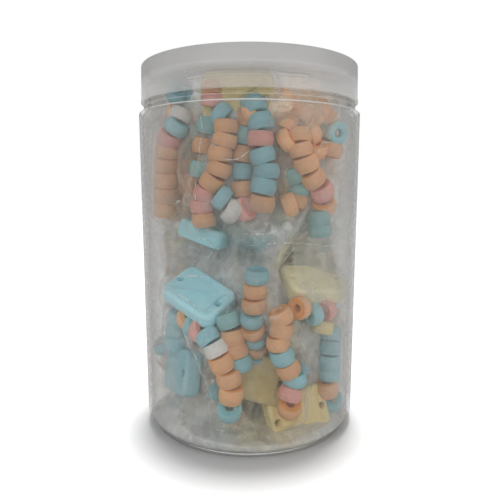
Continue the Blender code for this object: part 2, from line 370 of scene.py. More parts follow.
# clear jar body: a turned shell with a screw neck

jarBody = {
    "sides": 160,  # facets round the jar
    "footInner": 37.0,  # radii of the foot's ring
    "foot": 44.9,
    "base": 51.8,  # radius where the corner ends and the wall starts
    "corner": 6.9,  # rounding under the wall
    "hollow": 2.4,  # how far the floor stands up inside the ring
    "top": 53.0,  # radius at the shoulder
    "topHeight": 150.3,
    "shoulderEdge": 0.7,
    "wall": 1.2,
    "neck": 48.8,  # outer radius of the neck
    "collar": 50.7,
    "collarBottom": 153.4,
    "collarTop": 155.0,
    "mouth": 164.2,  # height of the rim
    "lip": 0.35,
    "colour": (0.55, 0.54, 0.525),
    "haze": 0.03,  # share of light a flat wall holds back
    "thickHaze": 0.0,
    "thickTone": 1.0,
    "edgeHaze": 0.95,  # the same where the wall is seen edge on
    "edgePower": 2.25,
    "rough": 0.2,
    "shine": 0.4,
    # painted highlight rings, whiter and hazier: radius, height, reach and strength
    "paintedGlints": [(52.5, 150.8, 0.75, 1.7), (50.7, 153.4, 0.25, 0.7), (47.2, 0.4, 1.2, 0.6)],
}

# one ridge on the neck and one in the lid: pitch is its rise in a turn, start its lower end
screwThread = {"pitch": 4.4, "depth": 0.9, "height": 1.4, "root": 0.3, "start": 157.6}


def arc(centreX, centreZ, radius, start, end, steps):
    points = []
    for step in range(steps + 1):
        angle = math.radians(blendTo(start, end, step / steps))
        points.append((centreX + radius * math.cos(angle), centreZ + radius * math.sin(angle)))
    return points


def turnedMesh(name, profile, sides):
    # turns (radius, height) points about Z; the profile starts and ends on the axis
    bm = bmesh.new()
    rings = []
    for radius, height in profile:
        if radius < 1e-6:
            rings.append([bm.verts.new((0.0, 0.0, height * mm))] * sides)
        else:
            rings.append([bm.verts.new(ringSpot(radius, angle, height)) for angle in turnsOf(sides)])
    for above, below in zip(rings, rings[1:]):
        for side in range(sides):
            other = (side + 1) % sides
            corners = []
            for corner in (above[side], above[other], below[other], below[side]):
                if corner not in corners:
                    corners.append(corner)
            bm.faces.new(corners)
    bmesh.ops.recalc_face_normals(bm, faces=bm.faces)
    return meshFromBm(bm, name)


def bodyRadius(height):
    share = (height - jarBody["corner"]) / (jarBody["topHeight"] - jarBody["corner"])
    return blendTo(jarBody["base"], jarBody["top"], share)


def jarProfile():
    j = jarBody
    wall, lip, edge = j["wall"], j["lip"], j["shoulderEdge"]
    hollow, innerTop, level = j["hollow"], j["top"] - j["wall"], j["collarBottom"]
    inside = [(0.0, hollow + wall), (j["footInner"] - 3.0, hollow + wall), (j["footInner"] + 0.6, wall)]
    inside += arc(j["foot"], j["corner"], j["corner"] - wall, -90, 0, 12)
    for inset, rise in ((0.1, -1.5), (0.35, -0.5), (1.0, 0.3)):
        inside.append((innerTop - inset, j["topHeight"] + rise))
    inside += [(j["neck"] - wall, level - 0.4)]
    inside += arc(j["neck"] - wall + lip, j["mouth"] - lip, lip, 180, 90, 4)
    outside = arc(j["neck"] - lip, j["mouth"] - lip, lip, 90, 0, 4)
    outside += [(j["neck"], j["collarTop"]), (j["collar"] - 0.2, j["collarTop"])]
    outside += [(j["collar"], j["collarTop"] - 0.2), (j["collar"], level + 0.3), (j["collar"], level)]
    ledge = (j["top"] - edge - 0.1, j["topHeight"] + edge)
    for share in (0.14, 0.86, 1.0):
        outside.append((blendTo(j["collar"], ledge[0], share), blendTo(level, ledge[1], share)))
    outside += arc(j["top"] - edge, j["topHeight"], edge, 75, 0, 5)
    outside += [(bodyRadius(height), height) for height in (30.0, 16.0, 10.0)]
    outside += arc(j["foot"], j["corner"], j["corner"], 0, -90, 16)
    outside += [(j["footInner"], 0.0), (j["footInner"] - 1.2, 0.5), (j["footInner"] - 3.0, hollow)]
    return inside + outside + [(0.0, hollow)]


def threadRidge(name, radius, start, depth):
    # one turn of a screw ridge; a negative depth points it inward
    t, sides = screwThread, jarBody["sides"]
    half = t["height"] / 2
    root = -t["root"] if depth > 0 else t["root"]
    outline = [(radius + root, start + half), (radius + depth, start + half / 2)]
    outline += [(radius + depth, start - half / 2), (radius + root, start - half)]
    if depth < 0:
        outline.reverse()
    bm = bmesh.new()
    before = None
    for step in range(sides + 1):
        angle = 2 * math.pi * step / sides
        rise = t["pitch"] * step / sides
        ring = [bm.verts.new(ringSpot(x, angle, z + rise)) for x, z in outline]
        if before is None:
            bm.faces.new(reversed(ring))
        else:
            for a in range(4):
                b = (a + 1) % 4
                bm.faces.new((before[a], before[b], ring[b], ring[a]))
        before = ring
    bm.faces.new(before)
    bmesh.ops.recalc_face_normals(bm, faces=bm.faces)
    return bpy.data.objects.new(name, meshFromBm(bm, name))


def hazyPlastic(name, look):
    # clear plastic that greys what is behind it, more where it is seen edge on, with painted highlight
    # rings in nearly white paint
    material, tree, shader = newMaterial(name)
    coords = objectCoords(tree, (-1300, 0))
    cloud = noiseNode(tree, coords, (-1100, 200), 28.0, 4.0)
    stops = [(0.3, shaded(look["colour"], 0.95)), (0.7, shaded(look["colour"], 1.04))]
    paint = rampNode(tree, cloud, (-700, 200), stops)
    thick = attributeNode(tree, "thick", (-1100, -550))
    paintedGlint = attributeNode(tree, "paintedGlint", (-1100, -700))
    darker = mixNode(tree, (-500, 300), 1.0, paint, grey(look["thickTone"]), "MULTIPLY")
    paint = mixNode(tree, (-350, 250), thick, paint, darker)
    # painted highlight: the rings are painted nearly white
    paint = mixNode(tree, (-200, 200), paintedGlint, paint, (0.95, 0.95, 0.93))
    scuffs = noiseNode(tree, coords, (-1100, -50), 420.0, 5.0, 0.7)
    stops = [(0.4, grey(look["rough"])), (0.75, grey(look["rough"] + 0.16))]
    rough = rampNode(tree, scuffs, (-700, -50), stops)
    facing = addNode(tree, "LayerWeight", (-1100, -350), {"Blend": 0.5}).outputs["Facing"]
    edge = mathNode(tree, "POWER", (-900, -350), facing, look["edgePower"])
    edge = mathNode(tree, "MULTIPLY", (-800, -350), edge, look["edgeHaze"])
    edge = mathNode(tree, "MULTIPLY", (-700, -350), edge, attributeNode(tree, "edgeOn", (-900, -250)))
    haze = mathNode(tree, "MULTIPLY_ADD", (-900, -550), scuffs, 0.02, look["haze"] - 0.01)
    haze = mathNode(tree, "MULTIPLY_ADD", (-800, -600), thick, look["thickHaze"], haze)
    haze = mathNode(tree, "MULTIPLY_ADD", (-700, -650), paintedGlint, 0.7, haze)
    clear = mathNode(tree, "SUBTRACT", (-500, -450), 1.0, haze)
    alpha = mathNode(tree, "MULTIPLY_ADD", (-300, -400), edge, clear, haze)
    ripple = noiseNode(tree, coords, (-1100, -750), 55.0, 2.0)
    normal = bumpNode(tree, (-500, -750), ripple, 0.08, 0.0004)
    feed(tree, shader, {"Base Color": paint, "Roughness": rough, "Alpha": alpha, "Normal": normal})
    feed(tree, shader, {"Specular IOR Level": look["shine"], "IOR": 1.5})
    return material


def paintEdges(thing, look, thickFrom, thickTo):
    # marks the painted highlight rings along edges that would catch the light, where the plastic is
    # thicker and where its foot turns under
    paintedGlints, thicks, edges = [], [], []
    level = look.get("collarBottom", 0.0)
    for corner in thing.data.vertices:
        radius, height = corner.co.xy.length / mm, corner.co.z / mm
        # painted highlight rings: full on each ring's line, fading to nothing at its reach
        paintedGlint = 0.0
        for ringRadius, ringHeight, reach, strength in look["paintedGlints"]:
            away = math.hypot(radius - ringRadius, height - ringHeight) / reach
            paintedGlint = max(paintedGlint, strength * (1.0 - away))
        paintedGlints.append(paintedGlint)
        thicks.append(smoothStep(thickFrom, thickTo, height))
        ledge = 0.15 if level - 2.4 < height < level + 0.1 else 1.0
        edges.append(min(ledge, smoothStep(3.0, 12.0, height)))
    addMarks(thing.data, {"paintedGlint": paintedGlints, "thick": thicks, "edgeOn": edges})


def makeJar():
    material = hazyPlastic("clearJarPlastic", jarBody)
    jar = addObject("jarBody", turnedMesh("jarBody", jarProfile(), jarBody["sides"]), material)
    ridge = threadRidge("neckRidge", jarBody["neck"], screwThread["start"], screwThread["depth"])
    fuseOrCut(jar, [ridge], "UNION")
    paintEdges(jar, jarBody, 7.0, 0.0)
    shadeSoftly(jar, 28)
    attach(jar, "root")
    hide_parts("jar")
    print("jar body:", len(jar.data.polygons), "faces")


makeJar()


# frosted screw lid with a plate sunk below a stacking rim

screwLid = {
    "bottom": 155.6,
    "top": 172.7,
    "radiusBottom": 51.7,
    "radiusTop": 51.5,
    "skirt": 1.3,
    "plateUnder": 164.5,  # underside of the sunken plate
    "plate": 1.6,
    "rim": 2.6,  # width of the stacking rim
    "edge": 0.8,
    "lip": 0.25,  # how far the grip's lower edge stands out
    "lipHeight": 1.2,
    "colour": (0.87, 0.86, 0.845),
    "haze": 0.24,
    "thickHaze": 0.5,  # added haze above the plate
    "thickTone": 0.66,
    "edgeHaze": 0.8,
    "edgePower": 1.8,
    "rough": 0.34,
    "shine": 0.4,
    # painted highlight rings: radius, height, reach and strength
    "paintedGlints": [(51.0, 172.6, 0.7, 0.4), (51.6, 164.2, 0.5, 0.12)],
}


def lidProfile():
    l = screwLid
    skirtInner = l["radiusBottom"] - l["skirt"]
    plateTop = l["plateUnder"] + l["plate"]
    rimInner = l["radiusTop"] - l["rim"]
    edge = l["edge"]
    points = [(0.0, plateTop)]
    points += arc(rimInner - edge, plateTop + edge, edge, -90, 0, 4)
    points += arc(rimInner + edge, l["top"] - edge, edge, 180, 90, 4)
    points += arc(l["radiusTop"] - edge, l["top"] - edge, edge, 90, 0, 6)
    lipTop = l["bottom"] + l["lipHeight"]
    for height in (168.5, 166.4, 165.2, 164.2, 163.0, 161.0):
        share = (height - lipTop) / (l["top"] - lipTop)
        points.append((blendTo(l["radiusBottom"], l["radiusTop"], share), height))
    points += [(l["radiusBottom"], lipTop + 0.5), (l["radiusBottom"] + l["lip"], lipTop)]
    points += arc(l["radiusBottom"] + l["lip"] - 0.3, l["bottom"] + 0.3, 0.3, 0, -90, 3)
    points += [(skirtInner, l["bottom"]), (skirtInner, l["plateUnder"] - 0.5)]
    points += [(skirtInner - 0.5, l["plateUnder"]), (0.0, l["plateUnder"])]
    return points


def makeLid():
    material = hazyPlastic("frostedLidPlastic", screwLid)
    lid = addObject("screwLid", turnedMesh("screwLid", lidProfile(), jarBody["sides"]), material)
    start = screwThread["start"] + screwThread["pitch"] / 2 - 0.3
    inner = screwLid["radiusBottom"] - screwLid["skirt"]
    ridge = threadRidge("lidRidge", inner, start, -screwThread["depth"])
    fuseOrCut(lid, [ridge], "UNION")
    paintEdges(lid, screwLid, 164.2, 166.4)
    shadeSoftly(lid, 28)
    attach(lid, "root")
    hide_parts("lid")
    print("lid:", len(lid.data.polygons), "faces")


makeLid()


# pressed sweets: ring beads and oblong watch faces, collected by colour

sweetBead = {
    "radius": 5.4,
    "endRadius": 4.7,
    "halfThick": 2.95,
    "hole": 1.85,
    "belt": 0.7,  # half height of the straight band round the middle
    "round": 0.42,  # rounding of the ends
    "sides": 26,
    "pitch": 5.95,  # usual step from bead to bead
    "squeeze": 0.93,  # thinnest and thickest a bead gets to meet the next
    "stretch": 1.18,
    "sizeSpread": 0.03,
    "thickSpread": 0.05,
    "wobble": 6.0,  # degrees
}

watchFace = {
    "length": 30.0,
    "width": 21.0,
    "thick": 8.0,
    "corner": 4.4,  # rounding of the four upright corners
    "edge": 1.8,  # rounding of the rims
    "hole": 1.55,
    "holeReach": 11.8,  # from the middle to each hole
    "holeRim": 1.9,  # radius of a hole where it flares
}

roomInJar = {"wallGap": 0.5, "top": 164.2}  # room kept to the wall, and the lid's underside

sweetColours = {
    "orange": (0.87, 0.465, 0.225),
    "blue": (0.315, 0.62, 0.685),
    "pink": (0.90, 0.42, 0.36),
    "white": (0.85, 0.82, 0.77),
    "yellow": (0.86, 0.70, 0.31),
    "paleYellow": (0.87, 0.80, 0.50),
    "aqua": (0.30, 0.60, 0.60),
}

beadsPlaced = {colour: [] for colour in sweetColours}
facesPlaced = {colour: [] for colour in sweetColours}
strandLines = []


def roomAt(height):
    if height > jarBody["topHeight"] - 4.0:
        return jarBody["neck"] - jarBody["wall"] - roomInJar["wallGap"]
    low = max(0.0, jarBody["corner"] - height)
    return bodyRadius(height) - jarBody["wall"] - roomInJar["wallGap"] - low * low / 12.0


def settled(matrix, outline):
    # moves a piece in and down until its outline clears wall and lid
    place = matrix.copy()
    for attempt in range(5):
        points = [place @ point for point in outline]
        worst = max(points, key=lambda point: point.xy.length / mm - roomAt(point.z / mm))
        excess = worst.xy.length - roomAt(worst.z / mm) * mm
        if excess > 0:
            inward = worst.xy.normalized() * excess
            place.translation -= Vector((inward.x, inward.y, 0.0))
    rise = max((place @ point).z for point in outline) - roomInJar["top"] * mm
    if rise > 0:
        place.translation.z -= rise
    return place


def beadOutline():
    b = sweetBead
    points = []
    half = b["halfThick"]
    for radius, height in ((b["radius"], 0.0), (b["endRadius"], half), (b["endRadius"], -half)):
        points += [Vector(ringSpot(radius, angle, height)) for angle in turnsOf(12)]
    return points


def faceOutline():
    f = watchFace
    length, width, thick = f["length"] / 2, f["width"] / 2, f["thick"] / 2
    points = []
    for x in (-1, 1):
        for y in (-1, 1):
            for z in (-1, 1):
                points.append(Vector((x * (length - 1.4), y * (width - 1.4), z * thick)) * mm)
                points.append(Vector((x * length, y * (width - 4.0), z * (thick - 1.5))) * mm)
    return points


beadEdge = beadOutline()
faceEdge = faceOutline()


def placeBead(colour, centre, axis, draw, shade=1.0, outer=True, fit=1.0):
    b = sweetBead
    wide = (1.0 - draw.uniform(0.0, b["sizeSpread"])) * (1.0 + (fit - 1.0) * 0.3)
    thick = (1.0 + draw.uniform(-b["thickSpread"], b["thickSpread"])) * fit
    out = outward(azimuthOf(centre))
    if abs(axis.normalized().dot(out)) > 0.95:
        out = Vector((0.0, 0.0, 1.0))
    turn = Matrix.Rotation(draw.uniform(0, 2 * math.pi), 4, "Z")
    size = Matrix.Diagonal((wide, wide, thick, 1.0))
    matrix = Matrix.Translation(centre) @ frameAlong(axis, out) @ turn @ size
    matrix = settled(matrix, beadEdge)
    # shade: the bead's painted light and shade, read by its sugar material
    beadsPlaced[colour].append((matrix, draw.random(), shade, outer))
    return matrix.translation.copy()


def placeFace(colour, spot, tilt, way, spin, draw, shade=1.0):
    # tilt is from level, way is where it tilts to from straight outward, spin turns its long side
    azimuth, height, distance = spot
    towards, angle = outward(azimuth + way), math.radians(tilt)
    normal = Vector((0.0, 0.0, math.cos(angle))) + towards * math.sin(angle)
    turn = frameAlong(normal, towards) @ Matrix.Rotation(math.radians(spin), 4, "Z")
    matrix = settled(Matrix.Translation(placeOn(azimuth, height, distance)) @ turn, faceEdge)
    # shade: the face's painted light and shade, read by its sugar material
    facesPlaced[colour].append((matrix, draw.random(), shade, True))


def evenly(points, count):
    # that many points at equal spacing along the curve
    lengths = [0.0]
    for first, second in zip(points, points[1:]):
        lengths.append(lengths[-1] + (second - first).length)
    picked, index = [], 0
    for number in range(count):
        wanted = lengths[-1] * number / max(count - 1, 1)
        while index < len(lengths) - 2 and lengths[index + 1] < wanted:
            index += 1
        span = max(lengths[index + 1] - lengths[index], 1e-9)
        picked.append(points[index].lerp(points[index + 1], (wanted - lengths[index]) / span))
    return picked


colourLetters = {"o": "orange", "b": "blue", "p": "pink", "w": "white", "y": "yellow", "a": "aqua"}
front = Vector((0.0, -1.0, 0.0))


def layStrand(strand, draw):
    # threads one bead for each letter; nod tips their tops to the front, openEnd the last one's
    # more, firstLean tips the first sideways, shade is its painted light and shade, and fade
    # paints each one darker than the one above as painted shade
    stops, letters = strand["stops"], strand["sweets"]
    nod, openEnd = strand.get("nod", 0), strand.get("openEnd", 0)
    if len(stops) == len(letters):
        points = [placeOn(*stop) for stop in stops]
    else:
        curve = smoothCurve([Vector(stop) for stop in stops], 24)
        points = evenly([placeOn(*stop) for stop in curve], len(letters))
    centres, last = [], len(letters) - 1
    for number, point in enumerate(points):
        before, after = points[max(0, number - 1)], points[min(number + 1, last)]
        along = (after - before).normalized()
        spacing = (after - before).length / mm / (2 if 0 < number < last else 1)
        fit = min(sweetBead["stretch"], max(sweetBead["squeeze"], spacing / sweetBead["pitch"]))
        out = outward(azimuthOf(point))
        lean = draw.uniform(-1, 1) * sweetBead["wobble"]
        if number == 0:
            lean += strand.get("firstLean", 0)
        axis = Matrix.Rotation(math.radians(lean), 3, out) @ along
        tip = math.radians(openEnd if number == last and openEnd else nod)
        toward = front if abs(azimuthOf(point)) < 90 else out
        axis = axis * math.cos(tip) - toward * math.sin(tip)
        outer = points[0].xy.length > 40.0 * mm
        shade = strand.get("shade", 1.0) * (1.0 - strand.get("fade", 0.0) * number)
        centres.append(placeBead(colourLetters[letters[number]], point, axis, draw, shade, outer, fit))
    strandLines.append((centres, bool(nod), bool(openEnd)))


def laySingle(letter, spot, lean, turn, draw, shade=1.0):
    # lean tips the hole from upright round the jar, turn brings it outward
    azimuth, height, distance = spot
    tilt, turned = math.radians(lean), math.radians(turn)
    flat = Vector((0.0, 0.0, math.cos(tilt))) + sideways(azimuth) * math.sin(tilt)
    axis = flat * math.cos(turned) + outward(azimuth) * math.sin(turned)
    placeBead(colourLetters[letter], placeOn(azimuth, height, distance), axis, draw, shade)


# strands of the front, top bead first; shade paints each strand lighter or darker
frontStrands = {
    "leftHigh": {
        "stops": [
            (-45.8, 147.8, 41.5), (-46.5, 142.8, 43.5), (-54.0, 138.2, 44), (-57.0, 132.6, 44),
            (-59.2, 126.7, 44), (-60.5, 120.0, 44), (-61.9, 113.2, 44), (-64.0, 106.7, 43.5),
        ],
        "sweets": "wbpooooo",
        "shade": 0.92,
    },
    "middleLeft": {
        "stops": [
            (-12.6, 141.4, 44), (-13.2, 136.0, 44), (-16.1, 130.4, 44), (-16.4, 124.4, 44),
            (-20.9, 118.9, 44), (-25.3, 113.7, 44), (-27.5, 108.6, 44), (-26.5, 103.0, 43.5),
        ],
        "sweets": "oooooppo",
        "shade": 0.84,
    },
    "middle": {
        "stops": [
            (2.6, 149.8, 41.5), (6.1, 142.9, 44), (5.8, 136.3, 44), (7.0, 129.7, 44),
            (9.3, 123.3, 44), (7.5, 117.0, 44), (6.8, 110.4, 44),
        ],
        "sweets": "bbpbbbo",
        "openEnd": 12,
        "shade": 0.76,
    },
    "middleRight": {
        "stops": [
            (29.6, 138.2, 43), (29.2, 132.4, 44), (33.1, 126.9, 44), (38.0, 120.9, 44),
            (46.0, 115.1, 44), (51.0, 108.8, 43),
        ],
        "sweets": "oooopo",
        "openEnd": 25,
        "shade": 1.0,
    },
    "underLid": {
        "stops": [(-21.0, 157.6, 41.5), (-21.5, 152.4, 41.5)],
        "sweets": "op",
        "shade": 0.85,
    },
    "leftLow": {
        "stops": [
            (-25.4, 51.5, 42.5), (-19.2, 47.0, 44), (-16.0, 40.8, 44), (-11.9, 34.4, 44),
            (-10.6, 27.2, 44), (-11.6, 19.8, 44),
        ],
        "sweets": "bwooob",
        "openEnd": 40,
        "nod": 8,
        "shade": 1.0,
    },
    "leftLowBehind": {
        "stops": [(-13.6, 58.9, 39), (-10.7, 51.5, 39), (-8.4, 45.5, 39), (-5.8, 39.4, 39)],
        "sweets": "aoob",
        "shade": 0.85,
    },
    "middleLow": {
        "stops": [
            (4.2, 79.0, 41), (3.3, 72.9, 41), (2.7, 66.3, 41), (1.5, 60.2, 41), (2.4, 54.6, 39),
            (4.2, 49.8, 36), (4.6, 44.6, 33), (4.4, 39.5, 30.5), (2.6, 34.6, 28.5),
        ],
        "sweets": "boobobobo",
        "nod": 10,
        "shade": 0.82,
        "fade": 0.017,
    },
    "rightLow": {
        "stops": [
            (18.0, 61.7, 44), (18.0, 55.5, 44), (16.2, 49.8, 44), (18.8, 43.8, 44),
            (22.6, 37.9, 44), (27.0, 32.3, 44), (24.2, 26.3, 44), (23.8, 19.8, 44),
        ],
        "sweets": "ooobobpo",
        "firstLean": 24,
        "openEnd": 35,
        "shade": 0.95,
    },
    "rightEdgeLow": {
        "stops": [
            (62.4, 47.8, 43.5), (60.6, 41.3, 44), (59.8, 34.7, 44), (60.0, 28.2, 44),
            (56.5, 22.2, 44), (63.0, 14.6, 45),
        ],
        "sweets": "bbbbob",
        "openEnd": 38,
        "shade": 0.95,
    },
    "rightMiddle": {
        "stops": [(47.5, 103.5, 42), (48.5, 97.5, 42)],
        "sweets": "aa",
        "shade": 0.8,
    },
    "leftEdgeLow": {
        "stops": [(-54.0, 56.5, 41), (-56.0, 50.5, 41), (-57.0, 44.0, 41)],
        "sweets": "bbb",
        "shade": 0.95,
    },
    "middleBehind": {
        "stops": [(-1.0, 145.5, 38), (-4.0, 133.0, 37.5), (-5.0, 121.0, 37.5), (-2.0, 108.5, 38)],
        "sweets": "oaobop",
        "shade": 0.72,
    },
    "leftBehind": {
        "stops": [(-27.0, 143.0, 37.5), (-31.0, 134.5, 37.5), (-33.5, 124.5, 37.5)],
        "sweets": "aoa",
        "shade": 0.8,
    },
    "rightBehind": {
        "stops": [(30.0, 122.0, 38), (33.5, 115.5, 38), (32.0, 110.5, 38)],
        "sweets": "aao",
        "shade": 0.75,
    },
}

# beads that show by themselves: letter, spot, lean and turn of the hole, and painted light and shade
frontSingles = [
    ("b", (-16.2, 146.6, 44), -52, 8, 0.82),
    ("b", (-15.0, 112.3, 44), -52, 12, 0.88),
    ("w", (-9.8, 106.8, 44), -58, 18, 0.9),
    ("o", (-52.0, 149.8, 40), 60, 10),
    ("b", (-50.0, 157.5, 41), 60, 10),
    ("b", (58.3, 140.6, 46.0), -96, 40, 1.25),
    ("o", (56.0, 133.2, 44), 8, 12),
    ("o", (54.0, 149.0, 43), 10, 30),
    ("o", (22.5, 136.5, 41.0), 50, 40, 1.15),
    ("o", (22.5, 144.5, 40.0), 20, 15, 1.15),
    ("o", (31.4, 147.5, 40.5), 25, 5, 1.15),
    ("o", (40.5, 147.0, 41.0), 15, 8, 1.15),
    ("o", (50.5, 150.0, 40.5), 70, 25, 1.15),
    ("o", (39.0, 140.0, 41.5), 50, 12, 1.15),
    ("o", (46.0, 133.5, 40.5), -20, 30, 1.15),
    ("o", (64.0, 137.0, 41.0), 10, 10, 1.15),
    ("o", (1.4, 147.5, 41.0), 70, 20),
    ("o", (25.0, 109.2, 40.0), 70, 20),
    ("p", (-3.0, 107.5, 41), 60, 35),
    ("o", (31.5, 64.0, 42.5), -88, 20),
    ("b", (42.5, 60.0, 42.5), 78, 10),
    ("p", (56.5, 59.6, 42.5), 84, 5),
    ("y", (53.0, 52.6, 42.5), 12, 8),
    ("b", (-79.0, 38.0, 44), 15, 35),
    ("o", (-42.3, 57.6, 41.5), 50, 20),
    ("b", (-37.0, 54.8, 41.5), 55, 10),
    ("p", (-31.5, 53.6, 42), 60, 10),
]

# watch faces: colour, spot, tilt, way, spin, and painted light and shade
frontFaces = [
    ("blue", (-39.2, 67.3, 36.2), 36, 40, 49, 1.42),
    ("paleYellow", (60, 71.0, 35.0), 29, -28, 80, 1.13),
    ("yellow", (-7.0, 154.4, 38.6), 108, 0, 88, 0.86),
    ("blue", (-39.8, 95.9, 30.3), 20, 130, 80, 1.2),
    ("yellow", (36.5, 12.6, 36.8), 78, -13, 100, 1.06),
    ("blue", (-53, 31.0, 39.5), 78, -12, 100, 0.95),
    ("yellow", (4, 31.0, 33.0), 75, 10, 70, 0.7),
]

heapFill = {
    "seed": 31,
    "tierTops": (148.0, 92.0, 50.0),  # heights of the back strands' first beads
    "tierBeads": 7,
    "strandsPerTier": 5,
    "firstAzimuth": 106,
    "stepAzimuth": 34,  # degrees from strand to strand
    "lean": 26,
    "reach": 43.8,  # how far out the strands stand
    "faceHeights": (154.0, 98.0, 60.0, 18.0, 132.0, 30.0),
    "faceReach": 37.0,
    "deepTries": 700,
    "deepRound": (78.0, 282.0),  # beads deeper in, behind the strands of the back
    "deepHeights": (8, 158),
    "deepReach": (35.5, 38.0),
    "deepGap": 8.6,
    "faceGap": 19.0,  # room kept round the watch faces
    "frontTries": 260,  # beads deeper in, behind the strands of the front
    "frontRound": (-78, 78),
    "frontHeights": (9, 156),
    "frontReach": (33.0, 35.0),
    "topBeads": 34,  # loose beads under the lid
    "topHeights": (157.0, 160.0),
    "topReach": 34.0,
}

# which colours show dimly through the film: the letters of the nearest azimuth and height count
dimColours = [
    (-35, 140, "ba"),
    (-38, 118, "oop"),
    (-10, 128, "oy"),
    (16, 118, "bo"),
    (38, 138, "o"),
    (60, 120, "ob"),
    (-40, 88, ""),
    (0, 88, ""),
    (36, 86, ""),
    (-66, 60, "wb"),
    (-30, 40, "aob"),
    (8, 50, "yob"),
    (36, 50, "bay"),
    (-40, 14, "ab"),
    (4, 12, "yyo"),
]

mixOfColours = "ooooooobbbbbppwya"


def layFront(draw):
    for strand in frontStrands.values():
        layStrand(strand, draw)
    for letter, spot, lean, turn, *shade in frontSingles:
        laySingle(letter, spot, lean, turn, draw, shade[0] if shade else 1.0)
    for colour, spot, tilt, way, spin, shade in frontFaces:
        placeFace(colour, spot, tilt, way, spin, draw, shade)


def randomLetters(draw, count):
    letters = ""
    while len(letters) < count:
        letters += draw.choice(mixOfColours) * draw.choice((1, 1, 2, 3))
    return letters[:count]


def layBack(draw):
    h = heapFill
    for tier, top in enumerate(h["tierTops"]):
        for number in range(h["strandsPerTier"]):
            azimuth = h["firstAzimuth"] + h["stepAzimuth"] * (number + 0.35 * (tier % 2))
            azimuth += draw.uniform(-4, 4)
            height, lean = top + draw.uniform(-3, 1), draw.uniform(-1, 1) * h["lean"]
            stops = []
            for part in range(3):
                distance = h["reach"] - draw.uniform(0, 1.5)
                stops.append((azimuth, height, distance))
                height -= 18.0 + draw.uniform(-2, 1)
                azimuth += lean * 0.9 + draw.uniform(-6, 6)
                azimuth = min(max(azimuth, h["firstAzimuth"]), 360 - h["firstAzimuth"])
            letters = randomLetters(draw, h["tierBeads"])
            layStrand({"stops": stops, "sweets": letters, "openEnd": draw.choice((0, 30))}, draw)
    for number, height in enumerate(h["faceHeights"]):
        spot = (108 + 62 * (number % 3) + 18 * (number // 3), height, h["faceReach"])
        colour = draw.choice(("blue", "yellow", "orange", "pink"))
        tilt, spin = draw.uniform(30, 65), draw.uniform(60, 120)
        placeFace(colour, spot, tilt, 0, spin, draw)


def allCentres():
    centres = [placed[0].translation.copy() for group in beadsPlaced.values() for placed in group]
    for group in facesPlaced.values():
        for placed in group:
            for x in (-9.5, 0.0, 9.5):
                centres.append(placed[0] @ Vector((x * mm, 0.0, 0.0)))
    return centres


def treeOf(centres):
    tree = KDTree(len(centres))
    for index, centre in enumerate(centres):
        tree.insert(centre, index)
    tree.balance()
    return tree


def randomAxis(draw):
    return Vector((draw.gauss(0, 1), draw.gauss(0, 1), draw.gauss(0, 1))).normalized()


def dimLetters(azimuth, height):
    nearest = min(dimColours, key=lambda dim: math.hypot((dim[0] - azimuth) * 0.75, dim[1] - height))
    return nearest[2]


def fillBetween(draw):
    # more of the same sweets deeper in, wherever the outer ones leave room, painted darker as shade
    h = heapFill
    centres = allCentres()

    def addWhereFree(spot, letters, shade):
        if letters and treeOf(centres).find(spot)[2] >= h["deepGap"] * mm:
            colour = colourLetters[draw.choice(letters)]
            centres.append(placeBead(colour, spot, randomAxis(draw), draw, shade, False))

    for attempt in range(h["deepTries"]):
        azimuth, height = draw.uniform(*h["deepRound"]), draw.uniform(*h["deepHeights"])
        addWhereFree(placeOn(azimuth, height, draw.uniform(*h["deepReach"])), mixOfColours, 0.85)
    faces = treeOf([placed[0].translation for group in facesPlaced.values() for placed in group])
    for attempt in range(h["frontTries"]):
        azimuth, height = draw.uniform(*h["frontRound"]), draw.uniform(*h["frontHeights"])
        spot = placeOn(azimuth, height, draw.uniform(*h["frontReach"]))
        if faces.find(spot)[2] >= h["faceGap"] * mm:
            addWhereFree(spot, dimLetters(azimuth, height), 0.8)
    for number in range(h["topBeads"]):
        distance = h["topReach"] * math.sqrt(draw.random())
        azimuth, height = draw.uniform(-180, 180), draw.uniform(*h["topHeights"])
        addWhereFree(placeOn(azimuth, height, distance), mixOfColours, 1.0)


def beadShape():
    # a barrelled ring turned from its half outline: points, faces and how worn each point is,
    # below nought on the ends and in the hole, where the sugar has no powder and its colour is
    # painted stronger as a glow of light in the seams
    b = sweetBead
    hole, end, half, cut = b["hole"], b["endRadius"], b["halfThick"], b["round"]
    top = [(hole, half - 0.35, -1.0), (hole + 0.3, half - 0.05, -0.4), (end - cut - 0.4, half, -1.0)]
    top += [(end - cut * 0.35, half - 0.08, -0.6), (end + cut * 0.25, half - cut * 0.7, 0.6)]
    top += [(blendTo(end, b["radius"], 0.6), half * 0.48, 0.1)]
    top += [(b["radius"] - 0.08, b["belt"] + 0.35, 0.25)]
    outline = top + [(b["radius"], 0.0, 0.45)]
    outline += [(radius, -height, wearAndSeamGlow) for radius, height, wearAndSeamGlow in reversed(top)] + [(hole, 0.0, -1.0)]
    points, wearsAndSeamGlows, faces = [], [], []
    sides, count = b["sides"], len(outline)
    for angle in turnsOf(sides):
        points += [Vector(ringSpot(radius, angle, height)) for radius, height, wearAndSeamGlow in outline]
        wearsAndSeamGlows += [wearAndSeamGlow for radius, height, wearAndSeamGlow in outline]
    for side in range(sides):
        other = (side + 1) % sides
        for a in range(count):
            c = (a + 1) % count
            faces.append((side * count + a, side * count + c, other * count + c, other * count + a))
    return points, faces, wearsAndSeamGlows


